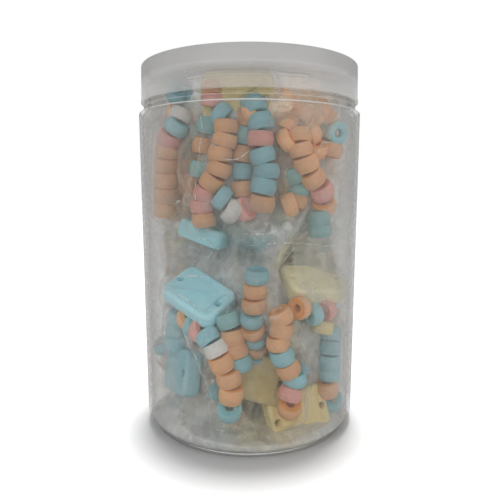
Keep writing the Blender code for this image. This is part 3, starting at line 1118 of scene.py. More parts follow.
def faceBlock():
    # a rounded oblong block with softened rims
    f = watchFace
    bm = bmesh.new()
    bmesh.ops.create_cube(bm, size=1.0)
    bmesh.ops.scale(bm, vec=(f["length"] * mm, f["width"] * mm, f["thick"] * mm), verts=bm.verts)
    upright = [edge for edge in bm.edges if abs(edge.verts[0].co.z - edge.verts[1].co.z) > mm]
    bmesh.ops.bevel(bm, geom=upright, offset=f["corner"] * mm, segments=7, profile=0.5, affect="EDGES")
    rims = [edge for edge in bm.edges if abs(edge.verts[0].co.z - edge.verts[1].co.z) < 0.1 * mm]
    bmesh.ops.bevel(bm, geom=rims, offset=f["edge"] * mm, segments=5, profile=0.5, affect="EDGES")
    flats = [face for face in bm.faces if len(face.verts) > 8]
    for step in (0.8, 2.2):
        bmesh.ops.inset_region(bm, faces=flats, thickness=step * mm, use_even_offset=True)
    return addObject("faceBlock", meshFromBm(bm, "faceBlock"))


def holeCutter(along):
    # a round peg that flares at both ends, for one cord hole
    f, half, sides = watchFace, watchFace["thick"] / 2, 20
    outline = [(half + 1, f["holeRim"]), (half, f["holeRim"]), (half - 0.5, f["hole"])]
    outline += [(-height, radius) for height, radius in reversed(outline)]
    bm = bmesh.new()
    rings = []
    for height, radius in outline:
        spots = [ringSpot(radius, angle, height) for angle in turnsOf(sides)]
        rings.append([bm.verts.new((x + along * mm, y, z)) for x, y, z in spots])
    for above, below in zip(rings, rings[1:]):
        for side in range(sides):
            other = (side + 1) % sides
            bm.faces.new((above[side], above[other], below[other], below[side]))
    bm.faces.new(rings[0])
    bm.faces.new(rings[-1])
    bmesh.ops.recalc_face_normals(bm, faces=bm.faces)
    return bpy.data.objects.new("faceHole", meshFromBm(bm, "faceHole"))


def faceShape():
    # the block with its two cord holes: points, faces and how worn each point is
    f = watchFace
    block = faceBlock()
    fuseOrCut(block, [holeCutter(-f["holeReach"]), holeCutter(f["holeReach"])], "DIFFERENCE")
    bm = bmesh.new()
    bm.from_mesh(block.data)
    bmesh.ops.triangulate(bm, faces=[face for face in bm.faces if len(face.verts) > 4])
    points = [corner.co.copy() for corner in bm.verts]
    faces = [tuple(corner.index for corner in face.verts) for face in bm.faces]
    bm.free()
    bpy.data.objects.remove(block, do_unlink=True)
    wearsAndSeamGlows = []
    for point in points:
        x, y, z = (abs(part) / mm for part in point)
        nearEnd = max(x - f["length"] / 2, y - f["width"] / 2) > -2.5
        onEdge = f["thick"] / 2 - 1.7 < z < f["thick"] / 2 - 0.05
        wearsAndSeamGlows.append(0.8 if onEdge and nearEnd else 0.1)
    return points, faces, wearsAndSeamGlows


def joinCopies(name, shape, copies, material, angle):
    # one mesh of all the sweets of a kind, each with its own tone: a random tone times its painted
    # light and shade
    points, faces, wearsAndSeamGlows = shape
    allPoints, allFaces, tonesWithPaintedShade, allWearsAndSeamGlows = [], [], [], []
    for matrix, tone, shade, outer in copies:
        start = len(allPoints)
        allPoints.extend(matrix @ point for point in points)
        allFaces.extend(tuple(start + index for index in face) for face in faces)
        tonesWithPaintedShade.extend([shade * (0.94 + 0.1 * tone)] * len(points))
        allWearsAndSeamGlows.extend(wearsAndSeamGlows)
    mesh = bpy.data.meshes.new(name)
    mesh.from_pydata(allPoints, [], allFaces)
    addMarks(mesh, {"tone": tonesWithPaintedShade, "wearAndSeamGlow": allWearsAndSeamGlows})
    bm = bmesh.new()
    bm.from_mesh(mesh)
    bmesh.ops.recalc_face_normals(bm, faces=bm.faces)
    bm.to_mesh(mesh)
    bm.free()
    thing = addObject(name, mesh, material)
    shadeSoftly(thing, angle)
    return thing


def pressedSugar(name, colour):
    # chalky pressed sugar: mottled colour, pale powder on worn edges, fine grain, colour painted
    # stronger in the seams and holes as glow, and each piece's painted light and shade
    material, tree, shader = newMaterial(name)
    coords = objectCoords(tree, (-1700, 0))
    mottle = noiseNode(tree, coords, (-1500, 300), 240.0, 4.0)
    stops = [(0.3, shaded(colour, 0.9)), (0.55, colour), (0.75, shaded(colour, 1.06))]
    paint = rampNode(tree, mottle, (-1250, 300), stops)
    grains = noiseNode(tree, coords, (-1500, 0), 2600.0, 2.0, 0.6)
    specks = rangeNode(tree, grains, (-1250, 0), 0.58, 0.72, 0.0, 0.35)
    pale = tuple(part + (0.95 - part) * 0.45 for part in colour)
    paint = mixNode(tree, (-1000, 250), specks, paint, pale)
    wearAndSeamGlow = attributeNode(tree, "wearAndSeamGlow", (-1500, -250))
    patchy = noiseNode(tree, coords, (-1500, -450), 900.0, 3.0)
    powder = mathNode(tree, "MULTIPLY", (-1250, -300), wearAndSeamGlow, patchy)
    powder = mathNode(tree, "MULTIPLY", (-1150, -300), powder, 0.45)
    powder = mathNode(tree, "MAXIMUM", (-1050, -300), powder, 0.0)
    paint = mixNode(tree, (-800, 200), powder, paint, pale)
    tone = attributeNode(tree, "tone", (-1500, -650))
    # painted glow: seams and holes get stronger colour, standing in for light glowing through the sugar
    # between beads
    paintedSeamGlow = rangeNode(tree, wearAndSeamGlow, (-1250, -750), 0.0, -1.0, 1.0, 1.28)
    # tone: each piece's painted light and shade sets its brightness, times a random tone
    values = {"Saturation": paintedSeamGlow, "Value": tone, "Color": paint}
    paint = addNode(tree, "HueSaturation", (-550, 150), values).outputs["Color"]
    rough = rampNode(tree, grains, (-800, -150), [(0.35, grey(0.62)), (0.7, grey(0.85))])
    normal = bumpNode(tree, (-500, -300), grains, 0.25, 0.00012)
    normal = bumpNode(tree, (-300, -300), patchy, 0.2, 0.0003, normal)
    feed(tree, shader, {"Base Color": paint, "Roughness": rough, "Normal": normal})
    feed(tree, shader, {"Specular IOR Level": 0.3})
    return material


def outerSkin(beads, faces):
    # one search tree over the sweets that lie in front of the bunched film
    verts, sides = [], []
    for shape, groups in ((beads, beadsPlaced), (faces, facesPlaced)):
        for group in groups.values():
            for matrix, tone, shade, outer in group:
                if outer:
                    start = len(verts)
                    verts.extend(matrix @ point for point in shape[0])
                    sides.extend(tuple(start + index for index in side) for side in shape[1])
    return BVHTree.FromPolygons(verts, sides)


def makeSweets():
    draw = random.Random(heapFill["seed"])
    layFront(draw)
    layBack(draw)
    fillBetween(draw)
    beads, faces = beadShape(), faceShape()
    made = []
    for colour, paint in sweetColours.items():
        material = pressedSugar(colour + "Sugar", paint)
        if beadsPlaced[colour]:
            made.append(joinCopies(colour + "Beads", beads, beadsPlaced[colour], material, 60))
        if facesPlaced[colour]:
            made.append(joinCopies(colour + "WatchFaces", faces, facesPlaced[colour], material, 50))
    for thing in made:
        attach(thing, "root")
        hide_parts("candy_watch_heap")
        print(thing.name, len(thing.data.polygons), "faces")
    return made, outerSkin(beads, faces)


sweets, strandSkin = makeSweets()


# elastic cord through each strand

elasticCord = {"radius": 0.45, "sides": 6, "colour": (0.62, 0.58, 0.52)}


def sweepTube(points, radius, sides):
    verts, faces = [], []
    along = (points[1] - points[0]).normalized()
    side = along.orthogonal().normalized()
    for index, point in enumerate(points):
        ahead = points[min(index + 1, len(points) - 1)] - points[max(index - 1, 0)]
        along = ahead.normalized()
        side = (side - along * side.dot(along)).normalized()
        other = along.cross(side)
        for angle in turnsOf(sides):
            verts.append(point + (side * math.cos(angle) + other * math.sin(angle)) * radius * mm)
    for ring in range(len(points) - 1):
        for step in range(sides):
            following = (step + 1) % sides
            a, b = ring * sides + step, ring * sides + following
            faces.append((a, b, b + sides, a + sides))
    faces.append(tuple(reversed(range(sides))))
    faces.append(tuple(range(len(verts) - sides, len(verts))))
    return verts, faces


def roundedLine(centres, openStart, openEnd):
    # the cord turns inward beyond the end beads, or stops inside one whose hole shows
    stops = []
    for first, second in ((centres[0], centres[1]), (centres[-1], centres[-2])):
        edge = first + (first - second).normalized() * 3.2 * mm
        inside = edge + Vector((-edge.x, -edge.y, 0.0)).normalized() * 7.0 * mm
        stops.append([inside, edge])
    return smoothCurve(
        ([] if openStart else stops[0]) + centres + ([] if openEnd else stops[1][::-1]), 4
    )


def coveredElastic():
    # dull cord with a fine slanting weave
    colour = elasticCord["colour"]
    material, tree, shader = newMaterial("coveredElastic")
    values = {"Vector": objectCoords(tree, (-900, 0)), "Scale": 900.0, "Distortion": 2.0}
    wave = addNode(tree, "TexWave", (-700, 0), values, bands_direction="DIAGONAL").outputs["Fac"]
    paint = rampNode(tree, wave, (-450, 0), [(0.2, shaded(colour, 0.8)), (0.8, colour)])
    normal = bumpNode(tree, (-300, -250), wave, 0.3, 0.0001)
    feed(tree, shader, {"Base Color": paint, "Normal": normal, "Roughness": 0.6})
    return material


def makeElastics():
    e = elasticCord
    verts, faces = [], []
    for centres, openStart, openEnd in strandLines:
        line = roundedLine(centres, openStart, openEnd)
        points, sides = sweepTube(line, e["radius"], e["sides"])
        faces.extend(tuple(index + len(verts) for index in side) for side in sides)
        verts.extend(points)
    mesh = bpy.data.meshes.new("elasticCords")
    mesh.from_pydata(verts, [], faces)
    thing = addObject("elasticCords", mesh, coveredElastic())
    shadeSoftly(thing, 60)
    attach(thing, "root")
    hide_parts("candy_watch_heap")
    print("elastic cords:", len(strandLines), "strands")


makeElastics()


def zoneAt(zones, azimuth, height):
    # how strongly the place lies inside any of the ragged oval zones
    most = 0.0
    for zoneAzimuth, zoneHeight, halfWidth, halfHeight, *strength in zones:
        across = math.radians(azimuth - zoneAzimuth) * 42.0 / halfWidth
        up = (height - zoneHeight) / halfHeight
        ragged = 0.35 * noise.noise(Vector((azimuth * 0.15, height * 0.15, 3.0)))
        amount = strength[0] if strength else 1.0
        most = max(most, amount * smoothStep(1.25, 0.75, math.hypot(across, up) + ragged))
    return most


def eased(limits, rise):
    # no value stands further out than its neighbours allow: rise is the most it gains in one step
    high, around = len(limits), len(limits[0])
    for sweep in range(2):
        for order in (1, -1):
            for i in range(high)[::order]:
                row = limits[i]
                before = limits[i - order] if 0 <= i - order < high else None
                for lap in range(2):
                    for j in range(around)[::order]:
                        best = row[(j - order) % around] + rise
                        if before:
                            best = min(best, before[j] + rise)
                        row[j] = min(row[j], best)
    return limits


def roomBehind(skin, heights, azimuths, gap, reach, rise, covers=()):
    # how far out the stuffing may stand at each place without hiding a sweet that shows
    limits = []
    for height in heights:
        row = []
        for azimuth in azimuths:
            hit = skin.ray_cast(placeOn(azimuth, height, 51.5), -outward(azimuth), 0.03)
            limit = reach(azimuth, height)
            over = [cover[4] for cover in covers if zoneAt([cover[:4]], azimuth, height) > 0.5]
            if over:
                limit = over[0]
            elif hit[0]:
                limit = min(limit, hit[0].xy.length / mm - gap)
            row.append(limit)
        limits.append(row)
    return eased(limits, rise)


# the heap's core: the sweets packed out of sight, painted dark as sweets lying in shade

heapCore = {
    "radius": 33.0,
    "behind": 8.5,  # how far behind the sweets it stays
    "slope": 0.6,  # steepest change of radius with height
    "bottom": 5.0,
    "top": 157.0,
    "sides": 96,
    "edge": 8.0,
    "lump": 1.6,  # how far each packed sweet bulges
    "step": 2.4,
    "cell": 8.5,  # size of one packed sweet
    # painted shade: the core's tones are dark, as sweets lying in shade
    "colours": [  # where each tone starts
        (0.0, (0.30, 0.24, 0.18)), (0.4, (0.20, 0.27, 0.27)), (0.68, (0.30, 0.28, 0.18)),
        (0.86, (0.29, 0.22, 0.20)),
    ],
}


def coreMesh(skin):
    c = heapCore
    rings, sides = int((c["top"] - c["bottom"]) / c["step"]), c["sides"]
    heights = [blendTo(c["bottom"], c["top"], ring / rings) for ring in range(rings + 1)]
    azimuths = [360.0 * side / sides for side in range(sides)]
    rise = c["slope"] * c["step"]
    limits = roomBehind(skin, heights, azimuths, c["behind"], lambda a, z: c["radius"], rise)
    bm = bmesh.new()
    grid = []
    for ring, height in enumerate(heights):
        nearest = min(height - c["bottom"], c["top"] - height)
        row = []
        for azimuth, limit in zip(azimuths, limits[ring]):
            radius = limit - c["edge"] * max(0.0, 1.0 - nearest / c["edge"]) ** 2
            spot = placeOn(azimuth, height, radius)
            gaps = noise.voronoi(spot / (c["cell"] * mm))[0]
            lump = c["lump"] * (1.0 - 2.0 * gaps[0]) + 0.8 * noise.noise(spot / (22.0 * mm))
            row.append(bm.verts.new(placeOn(azimuth, height, radius + lump)))
        grid.append(row)
    for below, above in zip(grid, grid[1:]):
        for side in range(sides):
            other = (side + 1) % sides
            bm.faces.new((below[side], below[other], above[other], above[side]))
    bm.faces.new(list(reversed(grid[0])))
    bm.faces.new(grid[-1])
    bmesh.ops.triangulate(bm, faces=[face for face in bm.faces if len(face.verts) > 4])
    bmesh.ops.recalc_face_normals(bm, faces=bm.faces)
    return meshFromBm(bm, "heapCore")


def packedSugarInPaintedShade():
    # dim patches, one to each lump, with painted shade darker in the gaps between
    material, tree, shader = newMaterial("packedSugarInPaintedShade")
    coords = objectCoords(tree, (-1300, 0))
    values = {"Vector": coords, "Scale": 1000.0 / heapCore["cell"]}
    cells = addNode(tree, "TexVoronoi", (-1100, 100), values).outputs
    split = addNode(tree, "SeparateColor", (-900, 100), {0: cells["Color"]}).outputs[0]
    paint = rampNode(tree, split, (-700, 100), heapCore["colours"])
    paint.node.color_ramp.interpolation = "CONSTANT"
    # painted shade: darker in the gaps between the lumps
    stops = [(0.15, grey(1.0)), (0.62, grey(0.35))]
    near = rampNode(tree, cells["Distance"], (-900, -150), stops)
    paint = mixNode(tree, (-400, 50), 1.0, paint, near, "MULTIPLY")
    normal = bumpNode(tree, (-400, -300), noiseNode(tree, coords, (-900, -400), 900.0), 0.3, 0.0003)
    feed(tree, shader, {"Base Color": paint, "Normal": normal, "Roughness": 0.85})
    return material


def makeCore(skin):
    thing = addObject("heapCore", coreMesh(skin), packedSugarInPaintedShade())
    shadeSoftly(thing, 60)
    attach(thing, "root")
    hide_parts("candy_watch_heap")
    print("heap core:", len(thing.data.polygons), "faces")
    return thing


core = makeCore(strandSkin)


# clear film pouches: a bunched layer between the strands and thin sheets over them

bunchedFilm = {
    "bottom": 2.0,
    "top": 163.8,
    "step": 1.35,
    # radius and height of the rings that lie on the jar's floor
    "floor": ((18.0, 4.2), (33.5, 4.2), (38.0, 1.6), (44.5, 1.45)),
    "front": 41.5,  # how far out it stands at the front
    "outer": 50.0,
    "back": 42.5,
    # azimuths where the fold down either side starts, is full, starts to end and has ended
    "sideFold": (66.0, 80.0, 99.0, 113.0),
    "behind": 2.6,  # how far behind the sweets it stays
    "slope": 0.7,
    "soften": 2,
    "packed": 0.8,  # how much denser it is in the neck
    "sideClear": 0.45,  # how much clearer the side folds are at the back
    "covering": 0.35,  # how much denser it is over the sweets
    "crumple": 1.8,
    "foldSize": 8.5,
    "colour": (0.84, 0.835, 0.81),
    "haze": 0.435,
    # each facet is painted lighter or darker, as painted light and shade
    "facets": 230.0,  # flat patches in a metre of film
    # painted highlight: how strongly the patches' edges show as pale lines
    "facetEdgeHighlight": 0.35,  # how clearly the patches' edges show
    "edgeHaze": 0.9,
    "creaseHaze": 0.25,
    # painted highlight colour of the creases
    "paintedCreaseHighlight": 1.0,
}

pouchFilm = {
    "step": 1.15,
    "lift": 0.45,  # how far it stands off the sweets
    "behind": 40.5,  # how far out it stands where there are none
    "spread": 3,  # how many steps it spans between sweets
    "soften": 3,
    "crumple": 0.6,
    "foldSize": 12.0,
    "wallGap": 0.3,  # room kept to the jar's wall
    "colour": (0.84, 0.835, 0.81),
    "haze": 0.035,
    "facets": 260.0,
    "facetEdgeHighlight": 0.35,
    "edgeHaze": 0.35,
    "creaseHaze": 0.20,
    "paintedCreaseHighlight": 1.0,
}

# gaps in the bunched film where the dark inside shows: azimuth, height, half width and half
# height in mm, and how open
filmWindows = [
    (-38, 124, 7, 20, 0.5),
    (17, 120, 6, 18, 0.5),
    (38, 142, 17, 12, 0.65),
    (11, 159, 6, 8, 0.8),
    (2, 21, 6, 9),
    (-3, 88, 5, 5, 0.6),
    (25, 66, 4, 7, 0.3),
    (-36, 51, 4, 6, 0.8),
    (-4, 122, 4, 16, 0.6),
    (-31, 133, 4, 10, 0.25),
    (33, 117, 4, 8, 0.4),
]

# faint stains of plain film: place on the noise and colour
filmStains = [
    (0.32, (0.90, 0.97, 0.97)), (0.47, (1.0, 1.0, 1.0)), (0.56, (1.0, 0.99, 0.95)),
    (0.68, (1.0, 0.93, 0.86)),
]

# how much of red, green and blue each kind of hue lets through; light and shade are painted light and
# painted shade
filmHues = {
    "tan": (1.0, 0.80, 0.66),
    "peach": (1.08, 0.89, 0.74),
    "olive": (0.97, 0.95, 0.78),
    "cool": (0.88, 0.99, 1.0),
    "dull": (0.70, 0.76, 0.74),
    "light": (1.17, 1.17, 1.17),
    "shade": (0.86, 0.855, 0.84),
    "sky": (0.86, 1.04, 1.12),
}

# where sweets pressed against the film lend it their colour, and where light and shade are painted on
# it: hue, oval zone and how strongly
filmTints = [
    ("tan", -38, 122, 9, 26, 1.0),
    ("peach", 36, 134, 20, 26, 1.0),
    ("peach", -62, 118, 10, 26, 1.0),
    ("olive", 20, 110, 9, 9, 0.7),
    ("dull", -2, 94, 14, 11, 1.0),
    ("sky", 3, 93, 7, 3, 1.0),
    ("sky", -38, 97, 9, 8, 0.5),
    ("dull", 28, 98, 9, 9, 0.6),
    ("dull", -4, 146, 16, 7, 0.8),
    # painted shade down either side of the jar
    ("shade", -80, 78, 17, 95, 1.0),
    ("shade", 80, 78, 17, 95, 1.0),
    # painted light on the film under the lid
    ("light", 0, 159, 60, 6, 1.0),
    ("peach", 18, 151, 8, 6, 1.0),
    ("cool", -42, 157, 16, 8, 0.5),
    ("peach", 34, 157, 16, 8, 0.3),
    ("olive", 36, 87, 15, 8, 0.9),
    ("olive", 50, 64, 14, 14, 0.4),
    ("olive", 4, 20, 17, 16, 0.9),
    ("olive", 20, 50, 9, 14, 0.5),
    ("cool", -64, 45, 9, 18, 0.5),
    ("cool", -28, 96, 14, 8, 0.5),
]

# pouches over the front: azimuth, height, half width in degrees, half height in mm, slant,
# and how many times thicker than plain film their haze is where it is crinkled
frontPouches = [
    (-58, 124, 24, 30, -10),
    (-18, 128, 22, 32, -6),
    (8, 126, 20, 30, 4),
    (38, 126, 24, 30, 12),
    (34, 147, 22, 9, 6, 2.6),
    (48, 76, 17, 11, -6, 2.2),
    (-50, 126, 10, 20, -8, 1.8),
    (-30, 92, 34, 22, 4),
    (14, 94, 30, 18, -6),
    (52, 90, 26, 26, 0),
    (-40, 68, 30, 24, 6),
    (-14, 36, 22, 32, 6),
    (4, 58, 20, 30, 0),
    (22, 40, 22, 32, 4),
    (56, 64, 26, 26, -6),
    (62, 30, 24, 28, 0),
    (-56, 34, 26, 30, 0),
    (-30, 16, 34, 16, 0),
    (14, 14, 30, 14, 0),
]

# creases of the pouches painted pale as highlights: azimuth and height of each point, how bright the
# painted highlight is
paintedHighlightFolds = [
    ([(-14, 127.7), (-6, 128.0), (0, 131.2)], 3),
    ([(28, 139.6), (32, 143.4), (35, 146.9)], 5),
    ([(34, 129.7), (39, 135.2), (51, 135.8)], 4),
    ([(48, 144.1), (54, 149.3)], 5),
    ([(-63, 74.8), (-38, 78.0), (-23, 78.4)], 3),
    ([(-56, 74.2), (-39, 69.6), (-26, 64.3)], 4),
    ([(-48, 15.9), (-45, 12.1), (-39, 7.9)], 4),
    ([(-30, 12.4), (-25, 7.3), (-14, 4.4)], 3),
    ([(-20, 11.4), (-13, 10.8)], 5),
    ([(-27, 151.1), (-26, 131.9), (-27, 107.3)], 1),
    ([(-39, 56.5), (-29, 42.2), (-20, 25.5)], 1),
    ([(-2, 92.4), (20, 93.3), (47, 91.0)], 2),
    ([(-5, 96.9), (4, 98.1), (12, 97.6)], 1),
    ([(-34, 95.3), (-25, 94.8), (-18, 90.4)], 2),
    ([(-18, 97.1), (-18, 90.9)], 2),
    ([(-24, 86.8), (-18, 91.7)], 2),
    ([(37, 89.9), (50, 90.4), (66, 89.3)], 1),
    ([(63, 133.4), (54, 124.3)], 1),
    ([(6, 27.5), (9, 17.5), (13, 9.9)], 1),
    ([(-9, 25.6), (-2, 18.7), (4, 8.7)], 1),
]

# raised creases painted as highlights: half thickness, and how many the back gets
filmFold = {"radius": 0.2, "sides": 5, "backCount": 26, "seed": 5}

# pouches over the back: half width in degrees, half height in mm
backPouches = {"count": 16, "halfWidth": 26, "halfHeight": 28, "seed": 8}


def foldsAt(x, z, size, seed):
    # height from -1 to 1 of a crumpled sheet, and how near a crease the point is
    point = Vector((x / size, z / size, seed))
    shift = Vector((9.0, 0.0, 0.0))
    bent = point + Vector((noise.noise(point * 0.7), noise.noise(point * 0.7 + shift), 0.0)) * 0.6
    wide = noise.voronoi(bent)[0]
    fine = noise.voronoi(bent * 2.3 + Vector((4.0, 7.0, 0.0)))[0]
    ridge = (wide[1] - wide[0]) * 1.4 - 0.5
    small = (fine[1] - fine[0]) * 1.4 - 0.5
    height = 0.65 * ridge + 0.15 * small + 0.6 * noise.noise(point * 0.5)
    sharp = smoothStep(0.0, 0.35, noise.noise(point * 0.45 + Vector((3.0, 5.0, 2.0))))
    crease = sharp * max(0.0, 1.0 - (wide[1] - wide[0]) / 0.10)
    crease += 0.6 * sharp * max(0.0, 1.0 - (fine[1] - fine[0]) / 0.12)
    return max(-1.0, min(1.0, height)), min(1.0, crease)


def filmPaint(tree, coords, look, facet, paintedGlint):
    # cloudy grey film with faint stains, one painted lighter or darker tone to each facet, and creases
    # painted pale as highlights
    cloud = noiseNode(tree, coords, (-1100, 150), 160.0, 4.0)
    stops = [(0.3, shaded(look["colour"], 0.88)), (0.7, shaded(look["colour"], 1.08))]
    paint = rampNode(tree, cloud, (-800, 200), stops)
    stain = noiseNode(tree, coords, (-1100, 400), 55.0, 2.0)
    tint = rampNode(tree, stain, (-800, 450), filmStains)
    paint = mixNode(tree, (-600, 300), 1.0, paint, tint, "MULTIPLY")
    # painted light and shade: each facet a little lighter or darker, as if lit at its own angle
    tone = rampNode(tree, facet[0], (-700, 650), [(0.0, grey(0.90)), (1.0, grey(1.10))])
    paint = mixNode(tree, (-520, 300), 1.0, paint, tone, "MULTIPLY")
    # the sweets' colour and the painted light and shade, kept on the mesh
    hueAndShade = addNode(tree, "Attribute", (-700, 500), attribute_name="hueAndShade").outputs["Color"]
    paint = mixNode(tree, (-490, 300), 1.0, paint, hueAndShade, "MULTIPLY")
    # painted highlight: the creases turn pale
    return mixNode(tree, (-450, 150), paintedGlint, paint, grey(look["paintedCreaseHighlight"]))


def filmHaze(tree, look, facet, paintedGlint):
    # clear between the creases, hazier along the painted crease highlights and edge on, and open where
    # a window lies
    facing = addNode(tree, "LayerWeight", (-1100, -600), {"Blend": 0.5}).outputs["Facing"]
    edge = mathNode(tree, "POWER", (-900, -600), facing, 2.5)
    edge = mathNode(tree, "MULTIPLY", (-700, -600), edge, look["edgeHaze"])
    haze = mathNode(tree, "MULTIPLY_ADD", (-500, -400), paintedGlint, look["creaseHaze"], look["haze"])
    haze = mathNode(tree, "MULTIPLY_ADD", (-350, -450), facet[1], look["haze"] * 0.4, haze)
    clear = mathNode(tree, "SUBTRACT", (-350, -600), 1.0, haze)
    alpha = mathNode(tree, "MULTIPLY_ADD", (-250, -500), edge, clear, haze)
    window = attributeNode(tree, "window", (-450, -750))
    window = mathNode(tree, "SUBTRACT", (-250, -700), 1.0, window)
    return mathNode(tree, "MULTIPLY", (-100, -550), alpha, window)


def filmMaterial(name, look):
    material, tree, shader = newMaterial(name)
    coords = objectCoords(tree, (-1300, 0))
    values = {"Vector": coords, "Scale": 90.0, "Detail": 2.0}
    wander = addNode(tree, "TexNoise", (-1500, 800), values).outputs["Color"]
    values = {0: wander, 1: grey(0.014), 2: coords}
    bent = addNode(tree, "VectorMath", (-1300, 800), values, operation="MULTIPLY_ADD").outputs[0]
    values = {"Vector": bent, "Scale": look["facets"]}
    cells = addNode(tree, "TexVoronoi", (-1100, 650), values).outputs["Color"]
    facet = addNode(tree, "SeparateColor", (-900, 650), {0: cells}).outputs
    edges = addNode(tree, "TexVoronoi", (-1100, 900), values, feature="DISTANCE_TO_EDGE")
    line = rangeNode(tree, edges.outputs["Distance"], (-900, 900), 0.05, 0.0)
    line = mathNode(tree, "MULTIPLY", (-700, 900), line, look["facetEdgeHighlight"])
    crease = attributeNode(tree, "crease", (-1100, -100))
    crease = mathNode(tree, "ADD", (-900, -100), crease, line)
    # painted highlights: creases and patch edges are painted pale and hazier, broken up by this noise
    streaks = noiseNode(tree, coords, (-1100, -300), 380.0, 4.0, 0.65)
    sparkle = rangeNode(tree, streaks, (-900, -300), 0.46, 0.66)
    paintedGlint = mathNode(tree, "MULTIPLY", (-700, -200), crease, sparkle)
    fine = noiseNode(tree, coords, (-1100, -850), 700.0, 3.0)
    feed(tree, shader, {
        "Base Color": filmPaint(tree, coords, look, facet, paintedGlint),
        "Alpha": filmHaze(tree, look, facet, paintedGlint),
        "Normal": bumpNode(tree, (-500, -800), fine, 0.15, 0.0002),
        "Roughness": 0.22,
        "Specular IOR Level": 0.6,
    })
    return material


def hueAt(point):
    # the colour that the sweets behind lend the film at this place, with its painted light and shade
    colour = [1.0, 1.0, 1.0, 1.0]
    azimuth, height = azimuthOf(point), point.z / mm
    for tint, *zone in filmTints:
        share = zoneAt([zone], azimuth, height)
        for part in range(3):
            colour[part] *= blendTo(1.0, filmHues[tint][part], share)
    return colour


def sheetMesh(name, patches, material):
    # joins (rows of points, rows of (crease, window), closed round) patches into one film mesh
    verts, faces, creases, windows, huesAndShades = [], [], [], [], []
    for rows, marks, closed in patches:
        start, across = len(verts), len(rows[0])
        for row, mark in zip(rows, marks):
            verts.extend(row)
            for point in row:
                huesAndShades.extend(hueAt(point))
            creases.extend(pair[0] for pair in mark)
            windows.extend(pair[1] for pair in mark)
        for i in range(len(rows) - 1):
            for j in range(across if closed else across - 1):
                k = (j + 1) % across
                a, b = start + i * across, start + (i + 1) * across
                faces.append((a + j, a + k, b + k, b + j))
    mesh = bpy.data.meshes.new(name)
    mesh.from_pydata(verts, [], faces)
    addMarks(mesh, {"crease": creases, "window": windows})
    mesh.attributes.new("hueAndShade", "FLOAT_COLOR", "POINT").data.foreach_set("color", huesAndShades)
    thing = addObject(name, mesh, material)
    thing.data.shade_smooth()
    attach(thing, "root")
    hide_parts("candy_watch_heap")
    print(name, len(mesh.polygons), "faces")
    return thing


def skinTree(things):
    verts, faces = [], []
    for thing in things:
        start = len(verts)
        verts.extend(corner.co.copy() for corner in thing.data.vertices)
        faces.extend(tuple(start + index for index in face.vertices) for face in thing.data.polygons)
    return BVHTree.FromPolygons(verts, faces)


def wallRoom(height, gap):
    # how far out a sheet may stand at this height
    wall, corner, shoulder = jarBody["wall"], jarBody["corner"], jarBody["topHeight"] - 3.0
    if height > shoulder:
        share = smoothStep(shoulder, jarBody["collarBottom"] - 1.0, height)
        return blendTo(bodyRadius(height) - wall, jarBody["neck"] - wall, share) - gap
    if height < corner:
        curve = corner - wall
        low = min(curve, corner - height)
        return jarBody["foot"] + math.sqrt(curve * curve - low * low) - gap
    return bodyRadius(height) - wall - gap


# where a fold of the bunched film lies in front of the sweets: oval zone, and how far out it is
filmCovers = [
    (0, 94, 13, 11, 48.0),
    (27, 96, 9, 12, 48.0),
    (68, 98, 8, 12, 48.0),
    (16, 147, 7, 9, 46.5),
    (37, 146, 16, 11, 47.0),
    (11, 159, 5, 8, 45.5),
    (68, 130, 7, 14, 48.5),
    (-8, 146.5, 17, 4.5, 45.8),
]


def atSideFold(azimuth, height):
    # how fully the film stands in the ragged fold down either side
    near, full, fullEnd, far = bunchedFilm["sideFold"]
    turn = abs(azimuth) + 9.0 * noise.noise(Vector((height * 0.06, 4.0 if azimuth > 0 else 8.0, 1.0)))
    return smoothStep(near, full, abs(azimuth)) * (1.0 - smoothStep(fullEnd, far, turn))


def filmReach(azimuth, height):
    # the film lies well in behind the front and back and swells to the wall at the sides and foot
    f = bunchedFilm
    lying = f["front"] if abs(azimuth) < 90 else f["back"]
    lying = blendTo(lying, f["outer"], atSideFold(azimuth, height))
    return blendTo(f["outer"], lying, smoothStep(4.0, 18.0, height))


def makeBunchedFilm(skin):
    f = bunchedFilm
    rings = int((f["top"] - f["bottom"]) / f["step"])
    sides = int(2 * math.pi * 44.0 / f["step"])
    heights = [blendTo(f["bottom"], f["top"], ring / rings) for ring in range(rings + 1)]
    azimuths = [360.0 * side / sides - 180.0 for side in range(sides)]
    rise = f["slope"] * f["step"]
    covers = [cover[:4] for cover in filmCovers]
    limits = roomBehind(skin, heights, azimuths, f["behind"], filmReach, rise, filmCovers)
    for step in range(f["soften"]):
        limits = softened(limits, True)
    rows, marks = [], []
    for height, limitRow in zip(heights, limits):
        row, mark = [], []
        packed = f["packed"] * smoothStep(144.0, 152.0, height)
        foot = smoothStep(11.0, 5.0, height)
        for azimuth, limit in zip(azimuths, limitRow):
            turn = math.radians(azimuth)
            across, up = 44.0 * math.sin(turn) + 90.0, height + 44.0 * math.cos(turn)
            bulge, crease = foldsAt(across, up, f["foldSize"], 2.0)
            distance = limit + f["crumple"] * (bulge - 0.3)
            fold = atSideFold(azimuth, height)
            distance = blendTo(distance, f["outer"], max(foot, fold))
            row.append(placeOn(azimuth, height, min(distance, wallRoom(height, 0.35))))
            thicker = packed + f["covering"] * zoneAt(covers, azimuth, height)
            thicker -= f["sideClear"] * fold * smoothStep(84.0, 96.0, abs(azimuth))
            mark.append((crease, zoneAt(filmWindows, azimuth, height) - thicker))
        rows.append(row)
        marks.append(mark)
    floor = [[placeOn(a, height, distance) for a in azimuths] for distance, height in f["floor"]]
    floorMarks = [[(0.0, 0.0)] * sides for row in floor]
    patch = (floor + rows, floorMarks + marks, True)
    return sheetMesh("bunchedFilm", [patch], filmMaterial("bunchedClearFilm", f))


